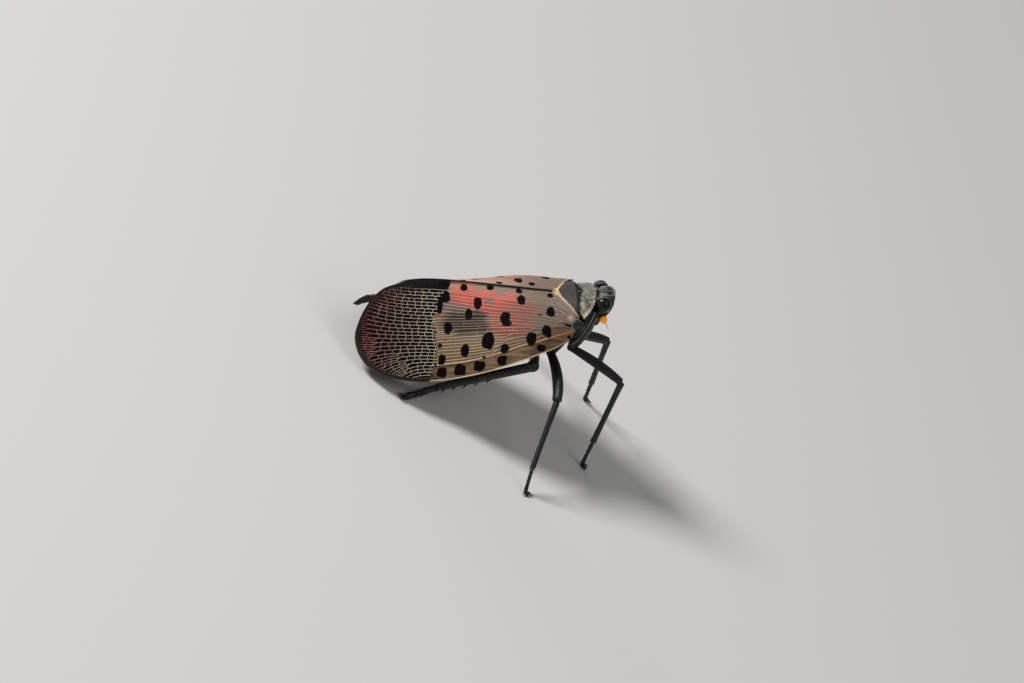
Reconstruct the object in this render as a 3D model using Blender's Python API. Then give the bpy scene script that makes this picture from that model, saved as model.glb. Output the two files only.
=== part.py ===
"""Spotted lanternfly (Lycorma delicatula), adult, standing with its wings folded like a roof.

Sizes are in millimetres in the insect's own frame: +X to the head, +Y to its left, +Z to its back.
The zero point lies on the middle plane, level with the hinges of the forewings. One empty, the
stance, carries every piece: it pitches the body head up and lifts it until the six feet stand on Z = 0.
"""

import math

import bmesh
import bpy
from mathutils import Matrix, Vector

MM = 0.001
GAP = 0.3

# Stance on the floor
PITCH = math.radians(22.0)
HINGE_HEIGHT = 13.5
FORWARD_SHIFT = 3.37

# Roof that the two forewings make: t runs back from the hinge, s out from the middle along the roof
ROOF_GIRTH = 10.0
ROOF_GIRTH_AT_HINGE = 3.9
ROOF_GIRTH_GROWS_OVER = 4.2
RIDGE_ANGLE_FRONT = 5.0
RIDGE_ANGLE_REAR = 40.0
EAVES_ANGLE_FRONT = 70.0
EAVES_ANGLE_REAR = 64.0
RIDGE_HEIGHT = 1.36
RIDGE_RISE = 0.3
RIDGE_DROPS_FROM = 12.8
RIDGE_DROP = 0.0193
RIDGE_DROP_POWER = 2.5

# Shoulders: how far the wings bulge over that roof, most of all just behind the hinges
SHOULDER_LIFT = 0.6
SHOULDER_LIFT_BEHIND = 0.13
SHOULDER_FADES_OVER = 2.2
SHOULDER_S = 2.2
SHOULDER_ENDS = 0.55

# Forewing outline on that roof
WING_ROOT = 0.28
WING_TIP = 20.66
WING_TIP_S = 3.19
OUTER_APEX = (12.9, 2.8, 0.6)
INNER_APEX = (17.3, 2.65, 0.6)
COSTAL_S = 9.8
CLAVUS_STARTS = 2.49
WING_ROOT_S = 3.03
WING_THICKNESS = 0.5
SEAM_WIDTH = 1.5
VEIN_HEIGHT = 0.16
VEIN_HALF_WIDTH = 0.022
WING_VEINS = (0.0, 0.13, 0.26, 0.42, 0.58, 0.74, 0.88, 1.0)
FORKS_START = 13.2

# Hindwing, folded under the forewing
HINDWING_ROOT = 1.3
HINDWING_TIP = 15.2
HINDWING_THICKNESS = 0.5

# Head
EYE_CENTRE = Vector((2.22, -1.28, 1.24))
EYE_RADII = Vector((0.69, 0.6, 0.7))
PEDICEL_CENTRE = Vector((2.48, -1.5, -0.38))
PEDICEL_RADIUS = 0.34
ROSTRUM_ROUTE = ((2.0, 0, -1.2), (1.5, 0, -2.6), (0.2, 0, -4.0), (-1.6, 0, -4.5), (-3.4, 0, -4.55))
ROSTRUM_RADII = (0.36, 0.32, 0.28, 0.26, 0.18)

# Pronotum, the collar behind the head
PRONOTUM_HALF_WIDTH = 2.7
PRONOTUM_FRONT = 1.48
PRONOTUM_REAR = -0.22
PRONOTUM_CORNER = 0.27
PRONOTUM_HEIGHT = 1.86
PRONOTUM_THICKNESS = 0.5

# Mesonotum, the shield between the wing roots
MESONOTUM_FRONT = 0.53
MESONOTUM_REAR = 2.16
MESONOTUM_THICKNESS = 0.6

FINISHES = {
    "black_shell": ((0.018, 0.016, 0.016), 0.32),
    "eye": ((0.008, 0.006, 0.006), 0.12),
    "antenna": ((0.90, 0.26, 0.015), 0.38),
    "collar": ((0.24, 0.21, 0.18), 0.6),
    "shield": ((0.10, 0.095, 0.09), 0.5),
    "forewing": ((0.36, 0.26, 0.22), 0.55),
    "hindwing": ((0.55, 0.035, 0.03), 0.6),
    "abdomen": ((0.62, 0.47, 0.12), 0.5),
    "leg": ((0.022, 0.020, 0.020), 0.38),
}


def clear_scene():
    for thing in list(bpy.data.objects):
        bpy.data.objects.remove(thing, do_unlink=True)


def make_material(name):
    colour, roughness = FINISHES[name]
    material = bpy.data.materials.new(name)
    material.use_nodes = True
    shader = material.node_tree.nodes["Principled BSDF"]
    shader.inputs["Base Color"].default_value = (*colour, 1.0)
    shader.inputs["Roughness"].default_value = roughness
    shader.inputs["Metallic"].default_value = 0.0
    return material


def make_stance():
    stance = bpy.data.objects.new("stance", None)
    stance.empty_display_size = 5 * MM
    stance.matrix_world = Matrix.Translation(
        (FORWARD_SHIFT * MM, 0, HINGE_HEIGHT * MM)
    ) @ Matrix.Rotation(-PITCH, 4, "Y")
    insect.objects.link(stance)
    return stance


def add_node(name, bm, finish):
    """Turns a mesh in millimetres into one named object in metres on the stance."""
    bmesh.ops.recalc_face_normals(bm, faces=bm.faces[:])
    bmesh.ops.scale(bm, vec=(MM, MM, MM), verts=bm.verts[:])
    mesh = bpy.data.meshes.new(name)
    bm.to_mesh(mesh)
    bm.free()
    mesh.shade_smooth()
    mesh.set_sharp_from_angle(angle=math.radians(35))
    mesh.materials.append(materials[finish])
    node = bpy.data.objects.new(name, mesh)
    insect.objects.link(node)
    node.parent = stance
    return node


def smooth_step(start, end, value):
    k = min(max((value - start) / (end - start), 0.0), 1.0)
    return k * k * (3 - 2 * k)


def on_floor(x, y, height=0.0):
    """The point of the insect's frame at this x and y that stands so high over the floor."""
    z = (height - HINGE_HEIGHT - x * math.sin(PITCH)) / math.cos(PITCH)
    return Vector((x, y, z))


# Tools for closed meshes


def loft(rings):
    """A closed skin over rings of as many points each, with flat ends."""
    bm = bmesh.new()
    loops = [[bm.verts.new(point) for point in ring] for ring in rings]
    count = len(loops[0])
    for lower, upper in zip(loops, loops[1:]):
        for i in range(count):
            j = (i + 1) % count
            bm.faces.new((lower[i], lower[j], upper[j], upper[i]))
    bm.faces.new(loops[0][::-1])
    bm.faces.new(loops[-1])
    bmesh.ops.recalc_face_normals(bm, faces=bm.faces[:])
    return bm


def round_ring(centre, first, second, power=2.0, count=20):
    """Points round a rounded box whose half sides are the vectors first and second."""
    ring = []
    for i in range(count):
        angle = 2 * math.pi * i / count
        c, s = math.cos(angle), math.sin(angle)
        a = math.copysign(abs(c) ** (2 / power), c)
        b = math.copysign(abs(s) ** (2 / power), s)
        ring.append(centre + first * a + second * b)
    return ring


def ellipsoid(centre, radii, turn=Matrix.Identity(3), segments=16, rings=10):
    bm = bmesh.new()
    bmesh.ops.create_uvsphere(bm, u_segments=segments, v_segments=rings, radius=1.0)
    shape = Matrix.Translation(centre) @ turn.to_4x4() @ Matrix.Diagonal((*radii, 1.0))
    bmesh.ops.transform(bm, matrix=shape, verts=bm.verts[:])
    return bm


def cone(base, tip, radius, tip_radius=0.03, sides=5):
    axis = tip - base
    bm = bmesh.new()
    bmesh.ops.create_cone(
        bm, cap_ends=True, segments=sides, radius1=radius, radius2=tip_radius, depth=axis.length
    )
    turn = Vector((0, 0, 1)).rotation_difference(axis).to_matrix().to_4x4()
    bmesh.ops.transform(bm, matrix=Matrix.Translation((base + tip) / 2) @ turn, verts=bm.verts[:])
    return bm


def tube(points, radii, resolution=2):
    """A round tube of changing width: a curve with a bevel, made a closed mesh."""
    curve = bpy.data.curves.new("tube", "CURVE")
    curve.dimensions = "3D"
    curve.bevel_depth = 1.0
    curve.bevel_resolution = resolution
    curve.use_fill_caps = True
    spline = curve.splines.new("POLY")
    spline.points.add(len(points) - 1)
    for spot, point, radius in zip(spline.points, points, radii):
        spot.co = (*point, 1.0)
        spot.radius = radius
    carrier = bpy.data.objects.new("tube", curve)
    insect.objects.link(carrier)
    graph = bpy.context.evaluated_depsgraph_get()
    mesh = bpy.data.meshes.new_from_object(carrier.evaluated_get(graph))
    bm = bmesh.new()
    bm.from_mesh(mesh)
    bmesh.ops.remove_doubles(bm, verts=bm.verts[:], dist=0.001)
    bmesh.ops.recalc_face_normals(bm, faces=bm.faces[:])
    bpy.data.objects.remove(carrier, do_unlink=True)
    bpy.data.meshes.remove(mesh)
    return bm


def trim(bm, point, outward):
    """Cuts away what lies on the outward side of a plane and closes the cut."""
    parts = bm.verts[:] + bm.edges[:] + bm.faces[:]
    cut = bmesh.ops.bisect_plane(
        bm, geom=parts, plane_co=point, plane_no=outward, clear_outer=True, dist=0.0005
    )
    rim = [part for part in cut["geom_cut"] if isinstance(part, bmesh.types.BMEdge)]
    bmesh.ops.holes_fill(bm, edges=rim, sides=0)


def keep_largest(bm):
    """Keeps the largest closed surface of the mesh."""
    left = set(bm.faces)
    islands = []
    while left:
        island = set()
        border = [left.pop()]
        while border:
            face = border.pop()
            island.add(face)
            near = {other for edge in face.edges for other in edge.link_faces} & left
            left -= near
            border.extend(near)
        islands.append(island)
    islands.sort(key=lambda faces: sum(face.calc_area() for face in faces))
    loose = [face for island in islands[:-1] for face in island]
    bmesh.ops.delete(bm, geom=loose, context="FACES")


def boolean(bm, others, operation):
    """One Boolean on a collection of closed meshes, applied, with its helpers removed."""
    pieces = bpy.data.collections.new("pieces")
    bpy.context.scene.collection.children.link(pieces)
    for other in others:
        mesh = bpy.data.meshes.new("piece")
        bmesh.ops.recalc_face_normals(other, faces=other.faces[:])
        other.to_mesh(mesh)
        other.free()
        pieces.objects.link(bpy.data.objects.new("piece", mesh))
    mesh = bpy.data.meshes.new("main")
    bm.to_mesh(mesh)
    main = bpy.data.objects.new("main", mesh)
    insect.objects.link(main)
    modifier = main.modifiers.new("join", "BOOLEAN")
    modifier.operation = operation
    modifier.operand_type = "COLLECTION"
    modifier.collection = pieces
    modifier.solver = "EXACT"
    bpy.context.view_layer.update()
    graph = bpy.context.evaluated_depsgraph_get()
    result = bpy.data.meshes.new_from_object(main.evaluated_get(graph))
    bm.clear()
    bm.from_mesh(result)
    for helper in [main, *pieces.objects]:
        bpy.data.objects.remove(helper, do_unlink=True)
    bpy.data.collections.remove(pieces)
    keep_largest(bm)
    return bm


def shell(rows, thickness):
    """A thin plate over rows of (point, normal), split into triangles alike on both faces."""
    bm = bmesh.new()
    outer = [[bm.verts.new(point) for point, _ in row] for row in rows]
    inner = [[bm.verts.new(point - normal * thickness) for point, normal in row] for row in rows]
    last_row, last_column = len(rows) - 1, len(rows[0]) - 1
    for i in range(last_row):
        for j in range(last_column):
            for face in (outer, inner):
                a, b, c, d = face[i][j], face[i + 1][j], face[i + 1][j + 1], face[i][j + 1]
                bm.faces.new((a, b, c))
                bm.faces.new((a, c, d))
    rim = [(i, 0) for i in range(last_row + 1)]
    rim += [(last_row, j) for j in range(1, last_column + 1)]
    rim += [(i, last_column) for i in range(last_row - 1, -1, -1)]
    rim += [(0, j) for j in range(last_column - 1, 0, -1)]
    for (i, j), (k, m) in zip(rim, rim[1:] + rim[:1]):
        bm.faces.new((outer[i][j], outer[k][m], inner[k][m]))
        bm.faces.new((outer[i][j], inner[k][m], inner[i][j]))
    bmesh.ops.recalc_face_normals(bm, faces=bm.faces[:])
    return bm


# The roof of the wings


def roof(t, s, side, lift=0.0):
    """(point, normal) on the roof, t behind the hinge and s out from the middle; side is -1 or +1."""
    first = math.radians(
        RIDGE_ANGLE_FRONT
        + (RIDGE_ANGLE_REAR - RIDGE_ANGLE_FRONT) * smooth_step(3.0, 14.0, t)
    )
    last = math.radians(
        EAVES_ANGLE_FRONT + (EAVES_ANGLE_REAR - EAVES_ANGLE_FRONT) * smooth_step(10.0, 17.0, t)
    )
    grown = math.exp(-t / ROOF_GIRTH_GROWS_OVER)
    girth = ROOF_GIRTH - (ROOF_GIRTH - ROOF_GIRTH_AT_HINGE) * grown
    radius = girth / (last - first)
    ridge = RIDGE_HEIGHT + RIDGE_RISE * smooth_step(2.5, 12.4, t)
    ridge -= RIDGE_DROP * max(t - RIDGE_DROPS_FROM, 0.0) ** RIDGE_DROP_POWER
    slope = first + s / radius
    across = radius * (math.sin(slope) - math.sin(first))
    down = radius * (math.cos(first) - math.cos(slope))
    normal = Vector((0, side * math.sin(slope), math.cos(slope)))
    return Vector((-t, side * across, ridge - down)) + normal * (lift + shoulder(t, s)), normal


def shoulder(t, s):
    """How far the wing bulges between its inner and its outer edge."""
    edge = costal_edge(t)
    height = SHOULDER_LIFT_BEHIND + SHOULDER_LIFT * math.exp(-t / SHOULDER_FADES_OVER)
    inside = smooth_step(0, SHOULDER_S, s) * (1 - smooth_step(SHOULDER_ENDS * edge, edge, s))
    return height * inside


def apex(t, shape):
    """How far one edge of the outline has closed towards the tip: 1 before the apex, 0 at the tip."""
    start, power, fullness = shape
    k = min(max((t - start) / (WING_TIP - start), 0.0), 1.0)
    return (1 - k**power) ** fullness


def costal_edge(t):
    """The outer edge of the forewing, as s."""
    before = max(OUTER_APEX[0] - t, 0.0)
    edge = COSTAL_S - 0.0585 * before**1.65 - 1.6 * math.exp(-t / 0.7)
    return WING_TIP_S + (edge - WING_TIP_S) * apex(t, OUTER_APEX)


def inner_edge(t):
    """The inner edge of the forewing, as s: along the shield, then along the middle, then the apex."""
    if t < CLAVUS_STARTS:
        k = (CLAVUS_STARTS - t) / (CLAVUS_STARTS - WING_ROOT)
        return max(WING_ROOT_S * k**0.8, GAP / 2)
    return max(WING_TIP_S * (1 - apex(t, INNER_APEX)), GAP / 2)


def vein_columns(veins, half_width):
    """(v, is_vein, is_fork) across a wing: each vein with its two feet and a middle line between veins."""
    columns = []
    for vein, following in zip(veins, veins[1:]):
        columns.append((vein, True, False))
        columns.append((vein + half_width, False, False))
        columns.append(((vein + following) / 2, False, True))
        columns.append((following - half_width, False, False))
    columns.append((veins[-1], True, False))
    return columns


def make_forewing(name, side):
    apex_starts = OUTER_APEX[0]
    body_stations = [WING_ROOT + (apex_starts - WING_ROOT) * k / 15 for k in range(15)]
    turns = [math.radians(90 * k / 11) for k in range(11)]
    apex_stations = [apex_starts + (WING_TIP - apex_starts) * math.sin(turn) for turn in turns]
    rows = []
    for t in body_stations + apex_stations:
        near, far = inner_edge(t), costal_edge(t)
        fork = smooth_step(FORKS_START, FORKS_START + 2, t)
        fade = smooth_step(0.3, 2.0, t) * (0.35 + 0.65 * apex(t, OUTER_APEX))
        row = []
        for v, is_vein, is_fork in vein_columns(WING_VEINS, VEIN_HALF_WIDTH):
            height = VEIN_HEIGHT * fade * (is_vein + 0.7 * fork * is_fork)
            s = near + (far - near) * v
            point, normal = roof(t, s, side, lift=height)
            upright = Vector((0, 0, 1)).lerp(normal, smooth_step(0, SEAM_WIDTH, s))
            row.append((point, upright.normalized()))
        rows.append(row)
    add_node(name, shell(rows, WING_THICKNESS), "forewing")


def make_hindwing(name, side):
    under = -(WING_THICKNESS + GAP + 0.05)
    rows = []
    for k in range(15):
        t = HINDWING_ROOT + (HINDWING_TIP - HINDWING_ROOT) * math.sin(math.radians(90 * k / 15))
        tail = math.sqrt(1 - (k / 15) ** 4)
        near = 1.2 + 3.0 * (1 - smooth_step(1.5, 5.5, t)) + 0.9 * smooth_step(7.0, 13.0, t)
        far = near + (costal_edge(t) - 0.8 - near) * tail
        row = []
        for v, is_vein, _ in vein_columns((0.0, 0.25, 0.5, 0.75, 1.0), 0.05):
            height = under - 0.1 + 0.1 * is_vein
            row.append(roof(t, near + (far - near) * v, side, lift=height))
        rows.append(row)
    add_node(name, shell(rows, HINDWING_THICKNESS), "hindwing")


# The body


def body_ring(x, top, bottom, half_width, grow=0.0, power=2.2, count=24):
    centre = Vector((x, 0, (top + bottom) / 2))
    across = Vector((0, half_width + grow, 0))
    up = Vector((0, 0, (top - bottom) / 2 + grow))
    return round_ring(centre, across, up, power, count)


def thorax_mesh(grow=0.0):
    sections = (
        (0.95, 0.35, -1.5, 0.95),
        (0.4, 0.6, -2.4, 1.7),
        (-0.5, 0.35, -3.3, 2.15),
        (-1.8, 0.0, -3.75, 2.15),
        (-3.0, -0.25, -3.8, 2.15),
        (-3.7, -0.5, -3.6, 2.05),
    )
    first, last = sections[0], sections[-1]
    if grow:
        sections = ((first[0] + grow, *first[1:]), *sections[1:-1], (last[0] - grow, *last[1:]))
    return loft([body_ring(*section, grow=grow) for section in sections])


def make_abdomen():
    sections = (
        (-4.0, -0.7, -3.5, 1.95),
        (-5.9, -0.8, -3.9, 2.1),
        (-7.8, -0.85, -4.1, 2.1),
        (-9.7, -0.95, -4.0, 1.95),
        (-11.5, -1.2, -3.8, 1.6),
        (-13.0, -1.6, -3.4, 1.1),
        (-14.2, -2.1, -3.0, 0.5),
    )
    rings = []
    for fore, aft in zip(sections, sections[1:]):
        for share, grow in ((0.02, -0.1), (0.25, 0.0), (0.98, 0.0)):
            section = (a + (b - a) * share for a, b in zip(fore, aft))
            rings.append(body_ring(*section, grow=grow, power=2.0, count=20))
    add_node("abdomen", loft(rings), "abdomen")


def head_mesh(grow=0.0):
    levels = (
        (-1.45, 1.75, 2.25, 0.45),
        (-0.9, 1.5, 2.55, 0.8),
        (-0.3, 1.35, 2.85, 1.0),
        (0.4, 1.25, 3.1, 1.05),
        (0.95, 1.3, 3.28, 1.05),
        (1.3, 1.95, 3.35, 1.0),
        (1.75, 1.98, 3.3, 0.9),
        (2.0, 2.15, 3.1, 0.65),
    )
    rings = []
    for k, (z, rear, front, half_width) in enumerate(levels):
        rise = grow * ((k == len(levels) - 1) - (k == 0))
        centre = Vector(((rear + front) / 2, 0, z + rise))
        along = Vector(((front - rear) / 2 + grow, 0, 0))
        across = Vector((0, half_width + grow, 0))
        rings.append(round_ring(centre, along, across, power=2.6, count=20))
    return loft(rings)


def mirrored(point, side):
    """A point of the right side, or its mirror image on the left; side is -1 or +1."""
    return Vector((point.x, -side * point.y, point.z))


def make_head():
    head = head_mesh()
    sockets = []
    for side in (-1, 1):
        grown = EYE_RADII + Vector((GAP, GAP, GAP))
        sockets.append(ellipsoid(mirrored(EYE_CENTRE, side), grown))
    add_node("head", boolean(head, sockets, "DIFFERENCE"), "black_shell")
    for name, side in (("right", -1), ("left", 1)):
        eye = ellipsoid(mirrored(EYE_CENTRE, side), EYE_RADII)
        add_node("eye_" + name, eye, "eye")
        make_antenna("antenna_" + name, side)
    rostrum = tube([Vector(point) for point in ROSTRUM_ROUTE], ROSTRUM_RADII)
    add_node("rostrum", boolean(rostrum, [head_mesh(GAP)], "DIFFERENCE"), "black_shell")


def make_antenna(name, side):
    centre = mirrored(PEDICEL_CENTRE, side)
    root = centre - Vector((0.1, side * 0.9, 0))
    pedicel = ellipsoid(centre, (PEDICEL_RADIUS,) * 3, segments=12, rings=8)
    scape = cone(root, centre, 0.26, 0.24, sides=8)
    bristle_root = centre + Vector((0.1, side * 0.2, -0.2))
    bristle = cone(bristle_root, centre + Vector((0.5, side * 0.75, -0.75)), 0.1, 0.03, sides=6)
    antenna = boolean(pedicel, [scape, bristle], "UNION")
    add_node(name, boolean(antenna, [head_mesh(GAP)], "DIFFERENCE"), "antenna")


def make_pronotum():
    rows = []
    for i in range(5):
        along = i / 4
        row = []
        for j in range(17):
            y = PRONOTUM_HALF_WIDTH * (j / 8 - 1)
            front = PRONOTUM_FRONT - 0.155 * y * y
            rear = PRONOTUM_REAR + (PRONOTUM_CORNER - PRONOTUM_REAR) * abs(j / 8 - 1) ** 6
            x = front + (rear - front) * along
            z = PRONOTUM_HEIGHT - 0.12 * along - 0.19 * y * y
            normal = Vector((0, 0.38 * y, 1)).normalized()
            row.append((Vector((x, y, z)), normal))
        rows.append(row)
    add_node("pronotum", shell(rows, PRONOTUM_THICKNESS), "collar")


def make_mesonotum():
    rows = []
    for i in range(9):
        t = MESONOTUM_FRONT + (MESONOTUM_REAR - MESONOTUM_FRONT) * i / 8
        half = inner_edge(t) - GAP - 0.2
        row = []
        for j in range(17):
            across = j / 8 - 1
            side = -1 if across < 0 else 1
            rise = 0.3 * (1 - t / 2.3) * (1 - across * across) + 0.06
            row.append(roof(t, abs(across) * half, side, lift=rise))
        rows.append(row)
    add_node("mesonotum", shell(rows, MESONOTUM_THICKNESS), "shield")


def make_tegula(name, side):
    centre = Vector((0.42, side * 2.68, -0.62))
    add_node(name, ellipsoid(centre, (0.4, 0.42, 0.5), segments=12, rings=8), "shield")


# The legs

# Joints of each leg from the hip down, in the insect's frame, and the spot where the foot stands
LEGS = {
    "fore_right": (
        (1.3, -1.4, -1.0),
        (0.1, -1.1, -4.3),
        (5.0, -3.8, -5.9),
        (3.54, -4.37, -12.92),
        (2.95, -4.6),
    ),
    "fore_left": (
        (1.3, 1.4, -1.0),
        (0.1, 1.1, -4.3),
        (4.7, 3.6, -6.9),
        (4.56, 5.3, -13.6),
        (4.5, 6.0),
    ),
    "mid_right": (
        (-1.0, -1.7, -2.8),
        (-2.0, -2.3, -4.15),
        (-1.54, -7.17, -6.12),
        (-3.4, -11.32, -10.93),
        (-3.8, -12.4),
    ),
    "hind_right": (
        (-2.6, -1.1, -3.0),
        (-3.3, -1.0, -5.0),
        (-3.98, -5.2, -3.65),
        (-12.55, -4.5, -7.7),
        (-15.52, -5.78),
    ),
}
for pair in ("mid", "hind"):
    LEGS[pair + "_left"] = tuple((x, -y, *z) for x, y, *z in LEGS[pair + "_right"])

# Half widths along each length of a leg, from its hip end to its foot end
COXA_RADII = {
    "fore": (0.5, 0.62, 0.58, 0.42),
    "mid": (0.5, 0.55, 0.5, 0.42),
    "hind": (0.6, 0.6, 0.55, 0.45),
}
FEMUR_RADII = {
    "fore": (0.36, 0.46, 0.5, 0.47, 0.38),
    "mid": (0.38, 0.48, 0.53, 0.47, 0.36),
    "hind": (0.4, 0.5, 0.52, 0.48, 0.42),
}
TIBIA_RADII = {
    "fore": (0.32, 0.27, 0.26, 0.28),
    "mid": (0.33, 0.28, 0.26, 0.28),
    "hind": (0.44, 0.38, 0.34, 0.33),
}
TARSUS_RADII = {"fore": (0.25, 0.22, 0.2), "mid": (0.25, 0.22, 0.2), "hind": (0.28, 0.25, 0.22)}

# How far the middle of each femur bows out of its straight line
FEMUR_BOW = {
    "fore": Vector((0.1, 0, 0.14)),
    "mid": Vector((0.34, 0, 0.05)),
    "hind": Vector((0, 0, 0.15)),
}

# Spines down the outer edge of the hind tibia, as shares of its length
TIBIA_SPINES = (0.42, 0.55, 0.68, 0.8, 0.9)
SPINE_LENGTH = 0.8


def limb(start, end, radii, bow=Vector()):
    """A tube from start to end that runs past both, for its ends to be trimmed."""
    axis = (end - start).normalized()
    shares = [k / (len(radii) - 1) for k in range(len(radii))]
    middle = [start.lerp(end, k) + bow * 4 * k * (1 - k) for k in shares]
    return tube([start - axis, *middle, end + axis], (radii[0], *radii, radii[-1]))


def trim_joint(bm, joint, upper, lower, keep_lower):
    """Mitres an end at a joint between two lengths, half the gap short of the plane between them."""
    plane = (upper + lower).normalized()
    if keep_lower:
        trim(bm, joint + plane * GAP / 2, -plane)
    else:
        trim(bm, joint - plane * GAP / 2, plane)


def make_leg(name, joints):
    pair = name.split("_")[0]
    hip, trochanter, knee, ankle = (Vector(joint) for joint in joints[:4])
    foot = on_floor(*joints[4], height=0.2)
    stops = (hip, trochanter, knee, ankle, foot)
    axes = [(b - a).normalized() for a, b in zip(stops, stops[1:])]
    coxa = limb(hip, trochanter, COXA_RADII[pair])
    trim_joint(coxa, trochanter, axes[0], axes[1], False)
    coxa = boolean(coxa, [thorax_mesh(GAP + 0.1)], "DIFFERENCE")
    if pair == "fore":
        coxa = boolean(coxa, [head_mesh(GAP)], "DIFFERENCE")
    add_node(f"{name}_coxa", coxa, "leg")
    femur = limb(trochanter, knee, FEMUR_RADII[pair], FEMUR_BOW[pair])
    trim_joint(femur, trochanter, axes[0], axes[1], True)
    trim_joint(femur, knee, axes[1], axes[2], False)
    add_node(f"{name}_femur", femur, "leg")
    tibia = limb(knee, ankle, TIBIA_RADII[pair])
    trim_joint(tibia, knee, axes[1], axes[2], True)
    trim_joint(tibia, ankle, axes[2], axes[3], False)
    if pair == "hind":
        tibia = boolean(tibia, tibia_spines(knee, ankle), "UNION")
    add_node(f"{name}_tibia", tibia, "leg")
    make_tarsus(f"{name}_tarsus", ankle, foot, axes, TARSUS_RADII[pair])


def tibia_spines(knee, ankle):
    """Spines that point down and back from the outer lower edge of a hind tibia."""
    axis = (ankle - knee).normalized()
    side = 1 if knee.y > 0 else -1
    out = Vector((0, side * 0.55, -1))
    out = (out - axis * out.dot(axis)).normalized()
    spines = []
    for share in TIBIA_SPINES:
        root = knee.lerp(ankle, share) + out * 0.12
        tip = root + (out * 0.6 + axis * 0.8).normalized() * (SPINE_LENGTH + 0.12)
        spines.append(cone(root, tip, 0.15))
    return spines


def make_tarsus(name, ankle, foot, axes, radii):
    """The foot: a jointed toe, a pad and two claws, cut flat where it stands on the floor."""
    toe = limb(ankle, foot, radii)
    floor_up = Vector((math.sin(PITCH), 0, math.cos(PITCH)))
    ahead = (axes[3] - floor_up * axes[3].dot(floor_up)).normalized()
    across = floor_up.cross(ahead)
    turn = Matrix((ahead, across, floor_up)).transposed()
    trim(toe, foot + axes[3] * 0.1, axes[3])
    pad = ellipsoid(foot + ahead * 0.18, (0.42, 0.34, 0.26), turn, segments=10, rings=6)
    claws = []
    for way in (-1, 1):
        root = foot + ahead * 0.2 + across * 0.1 * way
        tip = foot + ahead * 0.72 + across * 0.55 * way - floor_up * 0.1
        claws.append(cone(root, tip, 0.13, 0.04))
    tarsus = boolean(toe, [pad, *claws], "UNION")
    trim_joint(tarsus, ankle, axes[2], axes[3], True)
    trim(tarsus, foot - floor_up * 0.2, -floor_up)
    add_node(name, tarsus, "leg")


clear_scene()
insect = bpy.data.collections.new("spotted_lanternfly")
bpy.context.scene.collection.children.link(insect)
materials = {name: make_material(name) for name in FINISHES}
stance = make_stance()

make_head()
make_pronotum()
make_mesonotum()
add_node("thorax", thorax_mesh(), "black_shell")
make_abdomen()
for word, way in (("right", -1), ("left", 1)):
    make_tegula("tegula_" + word, way)
    make_forewing("forewing_" + word, way)
    make_hindwing("hindwing_" + word, way)
for leg, leg_joints in LEGS.items():
    make_leg(leg, leg_joints)
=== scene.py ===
# %% [markdown]
# # A spotted lanternfly at rest
#
# The spotted lanternfly is a planthopper about 25 mm long. At rest it holds its spotted forewings
# over its back like a steep roof and stands high on six thin black legs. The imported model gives
# the true places of its parts, as plain solids. This notebook dresses them: wings with every vein,
# a ridged head with glossy eyes, jointed legs with spines and claws, and a finish for each.

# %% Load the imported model
import math
import random

import bmesh
import bpy
import numpy as np
from mathutils import Matrix, Vector


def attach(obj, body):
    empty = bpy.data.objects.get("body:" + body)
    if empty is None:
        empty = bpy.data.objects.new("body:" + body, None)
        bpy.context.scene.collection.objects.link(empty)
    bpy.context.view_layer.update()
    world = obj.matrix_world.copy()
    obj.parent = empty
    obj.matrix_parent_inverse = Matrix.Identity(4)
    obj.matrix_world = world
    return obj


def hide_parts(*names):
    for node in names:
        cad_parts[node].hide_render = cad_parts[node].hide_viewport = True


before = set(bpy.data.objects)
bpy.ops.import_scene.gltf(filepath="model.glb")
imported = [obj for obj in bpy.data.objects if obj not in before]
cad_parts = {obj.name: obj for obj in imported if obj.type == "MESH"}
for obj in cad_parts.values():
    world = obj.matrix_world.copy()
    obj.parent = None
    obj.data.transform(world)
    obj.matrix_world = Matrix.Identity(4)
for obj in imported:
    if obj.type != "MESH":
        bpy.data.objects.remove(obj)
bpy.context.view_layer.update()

# %% [markdown]
# ## The insect's own frame
#
# Everything is drawn in millimetres in the frame that an entomologist would use: +X to the head,
# +Y to its left, +Z to its back, and zero between the hinges of the forewings. The insect stands
# with its head up, so one matrix pitches that frame and lifts it until the feet touch the floor.
# Baking the matrix into the points keeps each object at the world's zero, as the solids are.

# %% From the insect's frame to the world
MM = 0.001
PITCH = math.radians(22.0)
HINGE_HEIGHT = 13.5
FORWARD_SHIFT = 3.37
STANCE = Matrix.Translation((FORWARD_SHIFT, 0, HINGE_HEIGHT)) @ Matrix.Rotation(-PITCH, 4, "Y")
FLOOR_UP = Vector((math.sin(PITCH), 0, math.cos(PITCH)))


def to_world(points):
    """Points of the insect's frame in millimetres, as world points in metres."""
    turn = np.array(STANCE.to_3x3())
    return (np.asarray(points, float) @ turn.T + np.array(STANCE.translation)) * MM


def on_floor(x, y, height=0.0):
    """The point of the insect's frame at this x and y that stands so high over the floor."""
    z = (height - HINGE_HEIGHT - x * math.sin(PITCH)) / math.cos(PITCH)
    return Vector((x, y, z))


def smooth_step(start, end, value):
    k = np.clip((value - start) / (end - start), 0.0, 1.0)
    return k * k * (3 - 2 * k)


print("hinge at", to_world([(0, 0, 0)]).round(4)[0], "m")

# %% [markdown]
# ## Camera, floor and light
#
# The photograph looks down on the insect's right side with the camera held askew, so the view is
# set by three angles: how far round, how far down and how far rolled. A long lens stands far off,
# which keeps the near and far wing at one scale. The floor is a plain pale sheet. A wide soft
# light from above, a weaker one from the front and a pale world give soft shadows.

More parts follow.
